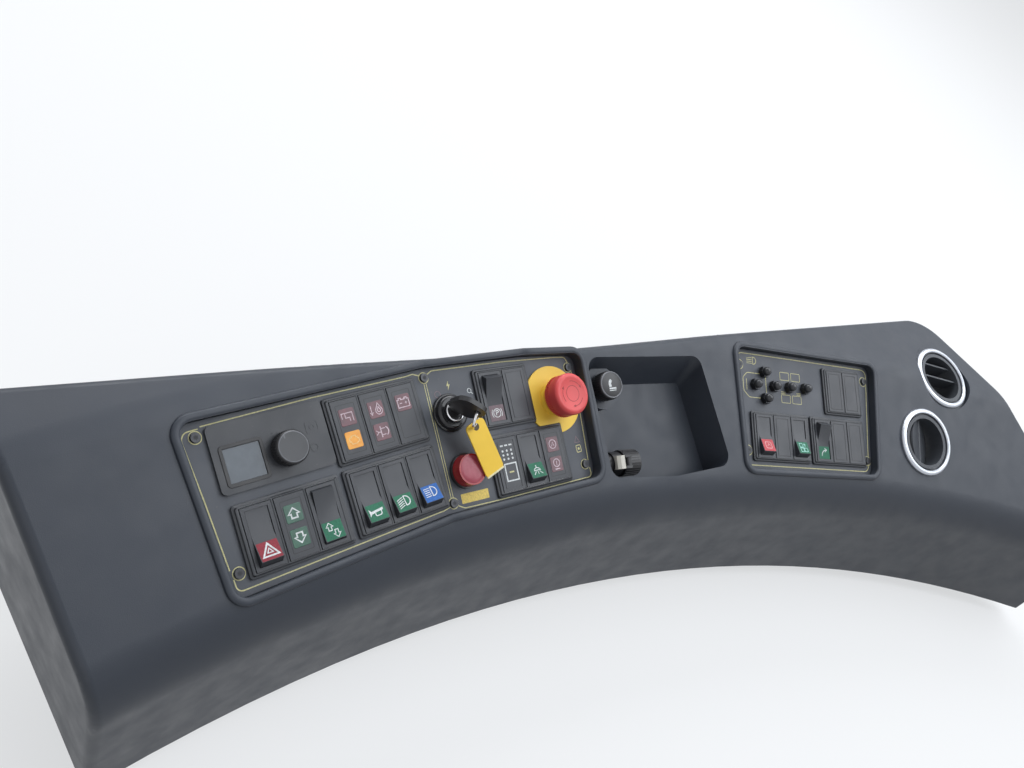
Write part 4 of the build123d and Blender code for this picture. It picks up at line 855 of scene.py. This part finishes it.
for turn in (90, 210, 330):
    marks.stroke(stop, arc_points((0, 0), 10.8, turn, turn - 62, 12), 0.5, *mark)
    t = radians(turn - 66)
    tip = Vector((10.8 * cos(t), 10.8 * sin(t)))
    go, side = Vector((sin(t), -cos(t))), Vector((cos(t), sin(t)))
    marks.prism(stop, [tuple(tip + go * 1.6), tuple(tip - go * 1.2 + side * 1.2), tuple(tip - go * 1.2 - side * 1.2)],
                *mark)
marks.piece("stop_button_groove_shade", STOP_GROOVE_SHADE, "stop_red", "stop_button", smooth=0)

# Red lamp: a paler face in the lens, dust together with painted sheen on its top
lamp = seat(left_panel, *LAMP)
face = Draft()
face.spin(lamp, ((0, 12.75), (4.0, 12.65), (8.0, 12.4), (10.8, 12.1), (11.2, 11.9), (11.2, 11.5), (0, 11.5)))
face.piece("lamp_face_dust_and_sheen", LAMP_DUST_AND_SHEEN, "lamp_red", smooth=50)

# Lighter: knob as high as the CAD's, with a painted highlight ring on its rim and a symbol
lighter = seat(tray, *LIGHTER)
down = lighter.inverted()
levels = [(down @ (v.co * 1000)).z for v in nodes["lighter_knob"].data.vertices]
top, foot = max(levels), min(levels)
body = Draft()
body.spin(lighter, ((0, foot), (8.6, foot), (8.6, top - 15.0), (12.0, top - 15.0), (12.6, top - 14.2),
                    (12.9, top - 9.0), (12.9, top - 1.6), (12.4, top - 0.6), (11.4, top - 0.1), (0, top)))
for k in range(36):
    t = Matrix.Rotation(2 * pi * k / 36, 4, "Z")
    body.prism(lighter @ t, ((12.6, -0.5), (13.15, -0.3), (13.15, 0.3), (12.6, 0.5)), top - 11.0, top - 2.4)
made = body.piece("lighter_knob_body", BLACK, "knob_black", "lighter_knob", smooth=40)
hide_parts("lighter_knob")
# a light ring on the knob's rim: painted highlight
rim = Draft()
rim.spin(lighter, [(r, top + h) for r, h in ((10.9, -0.3), (12.0, -0.5), (12.35, -0.2), (12.0, 0.2), (11.2, 0.15))],
         closed=True)
rim.piece("lighter_rim_painted_highlight", KNOB_HIGHLIGHT_AND_POINTER, "knob_black", "lighter_knob", smooth=60)
sign = Draft()
sign.stroke(lighter, ((-3.2, -3.6), (4.6, -3.0)), 1.4, top - 0.1, top + PRINT)
sign.stroke(lighter, ((-3.2, -5.4), (4.4, -4.9)), 0.7, top - 0.1, top + PRINT)
sign.prism(lighter, ((-3.0, -2.2), (-0.2, -1.6), (-0.8, 1.0), (0.6, 3.6), (-1.0, 5.4), (-3.0, 3.4), (-3.6, 0.6)),
           top - 0.1, top + PRINT)
sign.piece("lighter_symbol", WHITE_INK, "knob_black", "lighter_knob", smooth=0)

# Ribs round the socket's cap
along = Matrix(((0, 0, 1, 0), (1, 0, 0, 0), (0, 1, 0, 0), (0, 0, 0, 1)))
socket = tray @ Matrix.Translation(SOCKET) @ along
ribs = Draft()
for k in range(30):
    spin = Matrix.Rotation(2 * pi * k / 30, 4, "Z")
    ribs.prism(socket @ spin, ((11.8, -0.6), (12.25, -0.45), (12.4, 0), (12.25, 0.45), (11.8, 0.6)), -36.6, -21.4)
ribs.piece("socket_cap_ribs", BLACK, "knob_black", "socket_cap", smooth=40)

# Dark pieces over the bracket's two lugs, so that these show dark instead of pale
lug_darkening = Draft()
for side in (-1, 1):
    place = socket @ Matrix.Translation((side * 5.0, 0, 0))
    lug_darkening.prism(place @ Matrix.Rotation(radians(90), 4, "Y") @ Matrix.Rotation(radians(90), 4, "Z"),
                 ((8.0, -42.3), (8.0, -34.9), (17.0, -34.9), (17.0, -42.3)), -1.35, 1.35)
lug_darkening.piece("socket_lug_darkening", BLACK, "socket_black", bevel=0.5)


# Pieces that follow the shell, whose surface is read from its mesh

shell = nodes["console_shell"].data
shell_faces = BVHTree.FromPolygons([v.co * 1000 for v in shell.vertices], [tuple(p.vertices) for p in shell.polygons])
RIM_PROFILE = (  # distance out from the plate's outline, rise over the lip
    (0.25, -3.0), (0.12, -1.0), (0.25, -0.35), (0.9, 0.25), (2.0, 0.55), (3.2, 0.62), (4.4, 0.5), (5.4, 0.12),
    (6.0, -0.7), (6.35, -1.9), (6.35, -3.2), (3.2, -3.2))
SEAM_MIDDLE = (626, -320)
SEAM_ROWS = (12, 8, 4, 1, -2, -4, -6, -9, -12, -16, -20, -24, -28, -36, -44, -52, -60, -70, -80, -90, -100, -106)
SEAM_FOOT = -114.6


def clear_of_wall(point):
    """Keeps a point in front of the rear face."""
    return Vector((point.x, min(point.y, -0.4), point.z))


def lip_rim(name, panel, outline):
    """Soft roll along a panel's lip; it stands on the shell, whose height is read along the lip."""
    out = panel.to_3x3() @ Vector((0, 0, 1))
    path = rounded(outline, PLATE_CORNER_R, 8)
    dense = []
    for a, b in zip(path, path[1:] + path[:1]):
        steps = max(1, ceil(hypot(b[0] - a[0], b[1] - a[1]) / 8))
        dense += [(a[0] + (b[0] - a[0]) * k / steps, a[1] + (b[1] - a[1]) * k / steps) for k in range(steps)]
    area = sum(a[0] * b[1] - b[0] * a[1] for a, b in zip(dense, dense[1:] + dense[:1]))
    if area > 0:
        dense.reverse()
    heights = []
    for x, y in offset_line(dense, PLATE_GAP + LIP_WIDTH / 2, True):
        hit = shell_faces.ray_cast(panel @ Vector((x, y, 60)), -out)
        heights.append((panel.inverted() @ hit[0]).z)
    count = len(heights)
    even = [sum(heights[(i + k) % count] for k in (-1, 0, 1)) / 3 for i in range(count)]
    draft = Draft()
    draft.loft([[draft.mesh.verts.new(clear_of_wall(panel @ Vector((x, y, max(h + rise, 0.05)))))
                 for (x, y), h in zip(offset_line(dense, d, True), even)] for d, rise in RIM_PROFILE], closed=True)
    draft.piece(name, SHELL, "shell_charcoal", smooth=70)


def corner_reach(height, rays):
    """Distances from the corner's middle line out to the shell, level across the open line."""
    middle = Vector((*SEAM_MIDDLE, height))
    reach = []
    for ray in rays:
        hit = shell_faces.ray_cast(middle + ray * 60, -ray, 60)
        reach.append((hit[0] - middle).length if hit[0] else 0.0)
    known = []
    for i, r in enumerate(reach):
        sides = min(max(reach[max(0, i - 2):i] or [0]), max(reach[i + 1:i + 3] or [0]))
        if r > 2 and r > sides - 0.3:
            known.append(i)
    for i in range(known[0], known[-1]):
        if i not in known:
            before, after = max(k for k in known if k < i), min(k for k in known if k > i)
            reach[i] = reach[before] + (reach[after] - reach[before]) * (i - before) / (after - before) + 0.1
    return [reach[min(max(i, known[0]), known[-1])] for i in range(len(reach))]


def corner_seam():
    """Strip down the shell's right front corner, over the open line where the hollow meets the rounding."""
    draft = Draft()
    rings = []
    for z in SEAM_ROWS + (SEAM_FOOT,):
        foot = z == SEAM_FOOT                    # this row takes its shape from the row above
        height = SEAM_ROWS[-1] if foot else z
        start = 25 + (height + 12) * (2.2 if height > -12 else 0.1)
        angles = [start + 3 * i for i in range(21)]
        rays = [Vector((sin(radians(a)), -cos(radians(a)), 0)) for a in angles]
        middle = Vector((*SEAM_MIDDLE, height))
        reach = corner_reach(height, rays)
        outer, inner = [], []
        for i in range(2, len(rays) - 2):
            r = reach[i] + (0.5 if foot else 0.0)
            proud = 0.12 if 2 < i < len(rays) - 3 else -0.3
            drop = Vector((0, 0, SEAM_FOOT - height + max(0.0, angles[i] - 40) * 0.16)) if foot else Vector()
            outer.append(middle + rays[i] * (r + proud) + drop)
            inner.append(middle + rays[i] * (r - 1.6) + drop)
        rings.append([draft.mesh.verts.new(v) for v in outer + inner[::-1]])
    draft.loft(rings)
    draft.mesh.faces.new(rings[0])
    draft.mesh.faces.new(rings[-1])
    draft.piece("shell_corner_seam", SHELL, "shell_charcoal", smooth=60)


lip_rim("left_panel_rim", left_panel, LEFT_OUTLINE)
lip_rim("right_panel_rim", right_panel, RIGHT_OUTLINE)
corner_seam()


# Floor, light and camera

def pale_rays(tree):
    """1 for the rays that see the background: camera, glossy and transmission rays."""
    rays = node(tree, "ShaderNodeLightPath")
    seen = rays.outputs["Is Camera Ray"]
    for name in ("Is Glossy Ray", "Is Transmission Ray"):
        most = node(tree, "ShaderNodeMath", operation="MAXIMUM")
        tree.links.new(seen, most.inputs[0])
        tree.links.new(rays.outputs[name], most.inputs[1])
        seen = most.outputs[0]
    return seen


def make_stage():
    """Plain floor under the console: grey for the light, pale for the rays that see it."""
    level, half = cad_low.z - 0.02, 9.0
    mesh = bpy.data.meshes.new("floor")
    mesh.from_pydata([(-half, -half, level), (half, -half, level), (half, half, level), (-half, half, level)], [],
                     [(0, 1, 2, 3)])
    floor = bpy.data.objects.new("floor", mesh)
    bpy.context.scene.collection.objects.link(floor)
    material, tree, main = shader("floor_pale", (0.80, 0.80, 0.79), 0.9, specular=0.1)
    seen = pale_rays(tree)
    tree.links.new(mix(tree, seen, (0.20, 0.20, 0.20), (0.30, 0.30, 0.30)), main.inputs["Base Color"])
    tree.links.new(mix(tree, seen, (0.0, 0.0, 0.0), (0.60, 0.61, 0.62)), main.inputs["Emission Color"])
    main.inputs["Emission Strength"].default_value = 1.0
    floor.data.materials.append(material)


def make_light(name, place, target, size, power, colour):
    """Area lamp of a size in metres and a power in watts, aimed at a target."""
    lamp = bpy.data.lights.new(name, "AREA")
    lamp.shape = "RECTANGLE"
    lamp.size, lamp.size_y = size
    lamp.energy = power
    lamp.color = colour
    made = bpy.data.objects.new(name, lamp)
    made.location = place
    made.rotation_euler = (Vector(target) - Vector(place)).to_track_quat("-Z", "Y").to_euler()
    bpy.context.scene.collection.objects.link(made)


def make_world():
    """Soft even light, with a paler background for the camera, for reflections and through glass."""
    world = bpy.data.worlds.new("studio")
    bpy.context.scene.world = world
    world.use_nodes = True
    tree = world.node_tree
    out, back = tree.nodes["World Output"], tree.nodes["Background"]
    back.inputs["Color"].default_value = (0.92, 0.95, 1.0, 1)
    back.inputs["Strength"].default_value = 0.36
    pale = node(tree, "ShaderNodeBackground")
    pale.inputs["Color"].default_value = (0.86, 0.88, 0.91, 1)
    pale.inputs["Strength"].default_value = 1.0
    blend = node(tree, "ShaderNodeMixShader")
    tree.links.new(pale_rays(tree), blend.inputs[0])
    tree.links.new(back.outputs[0], blend.inputs[1])
    tree.links.new(pale.outputs[0], blend.inputs[2])
    tree.links.new(blend.outputs[0], out.inputs["Surface"])


def make_camera():
    """The photo's camera."""
    camera = bpy.data.cameras.new("photo_camera")
    camera.lens = CAMERA_LENS
    camera.sensor_width = 36.0
    camera.clip_start, camera.clip_end = 0.01, 50.0
    made = bpy.data.objects.new("photo_camera", camera)
    right, up = Vector(CAMERA_RIGHT), Vector(CAMERA_UP)
    made.matrix_world = axes(Vector(CAMERA_PLACE), right, up, right.cross(up))
    bpy.context.scene.collection.objects.link(made)
    bpy.context.scene.camera = made


make_stage()
make_world()
make_light("top_light", (1.3, -0.1, 2.1), (0.1, -0.1, 0.0), (2.4, 2.4), 52.0, (0.91, 0.95, 1.0))
make_light("window_light", (0.4, 2.3, 1.9), (0.1, -0.1, 0.0), (3.0, 1.4), 60.0, (0.95, 0.97, 1.0))
make_light("fill_light", (-2.0, -2.0, 2.2), (0.0, -0.1, 0.0), (2.4, 2.4), 9.0, (1.0, 0.98, 0.95))
make_camera()
bpy.context.scene.view_settings.view_transform = "Standard"
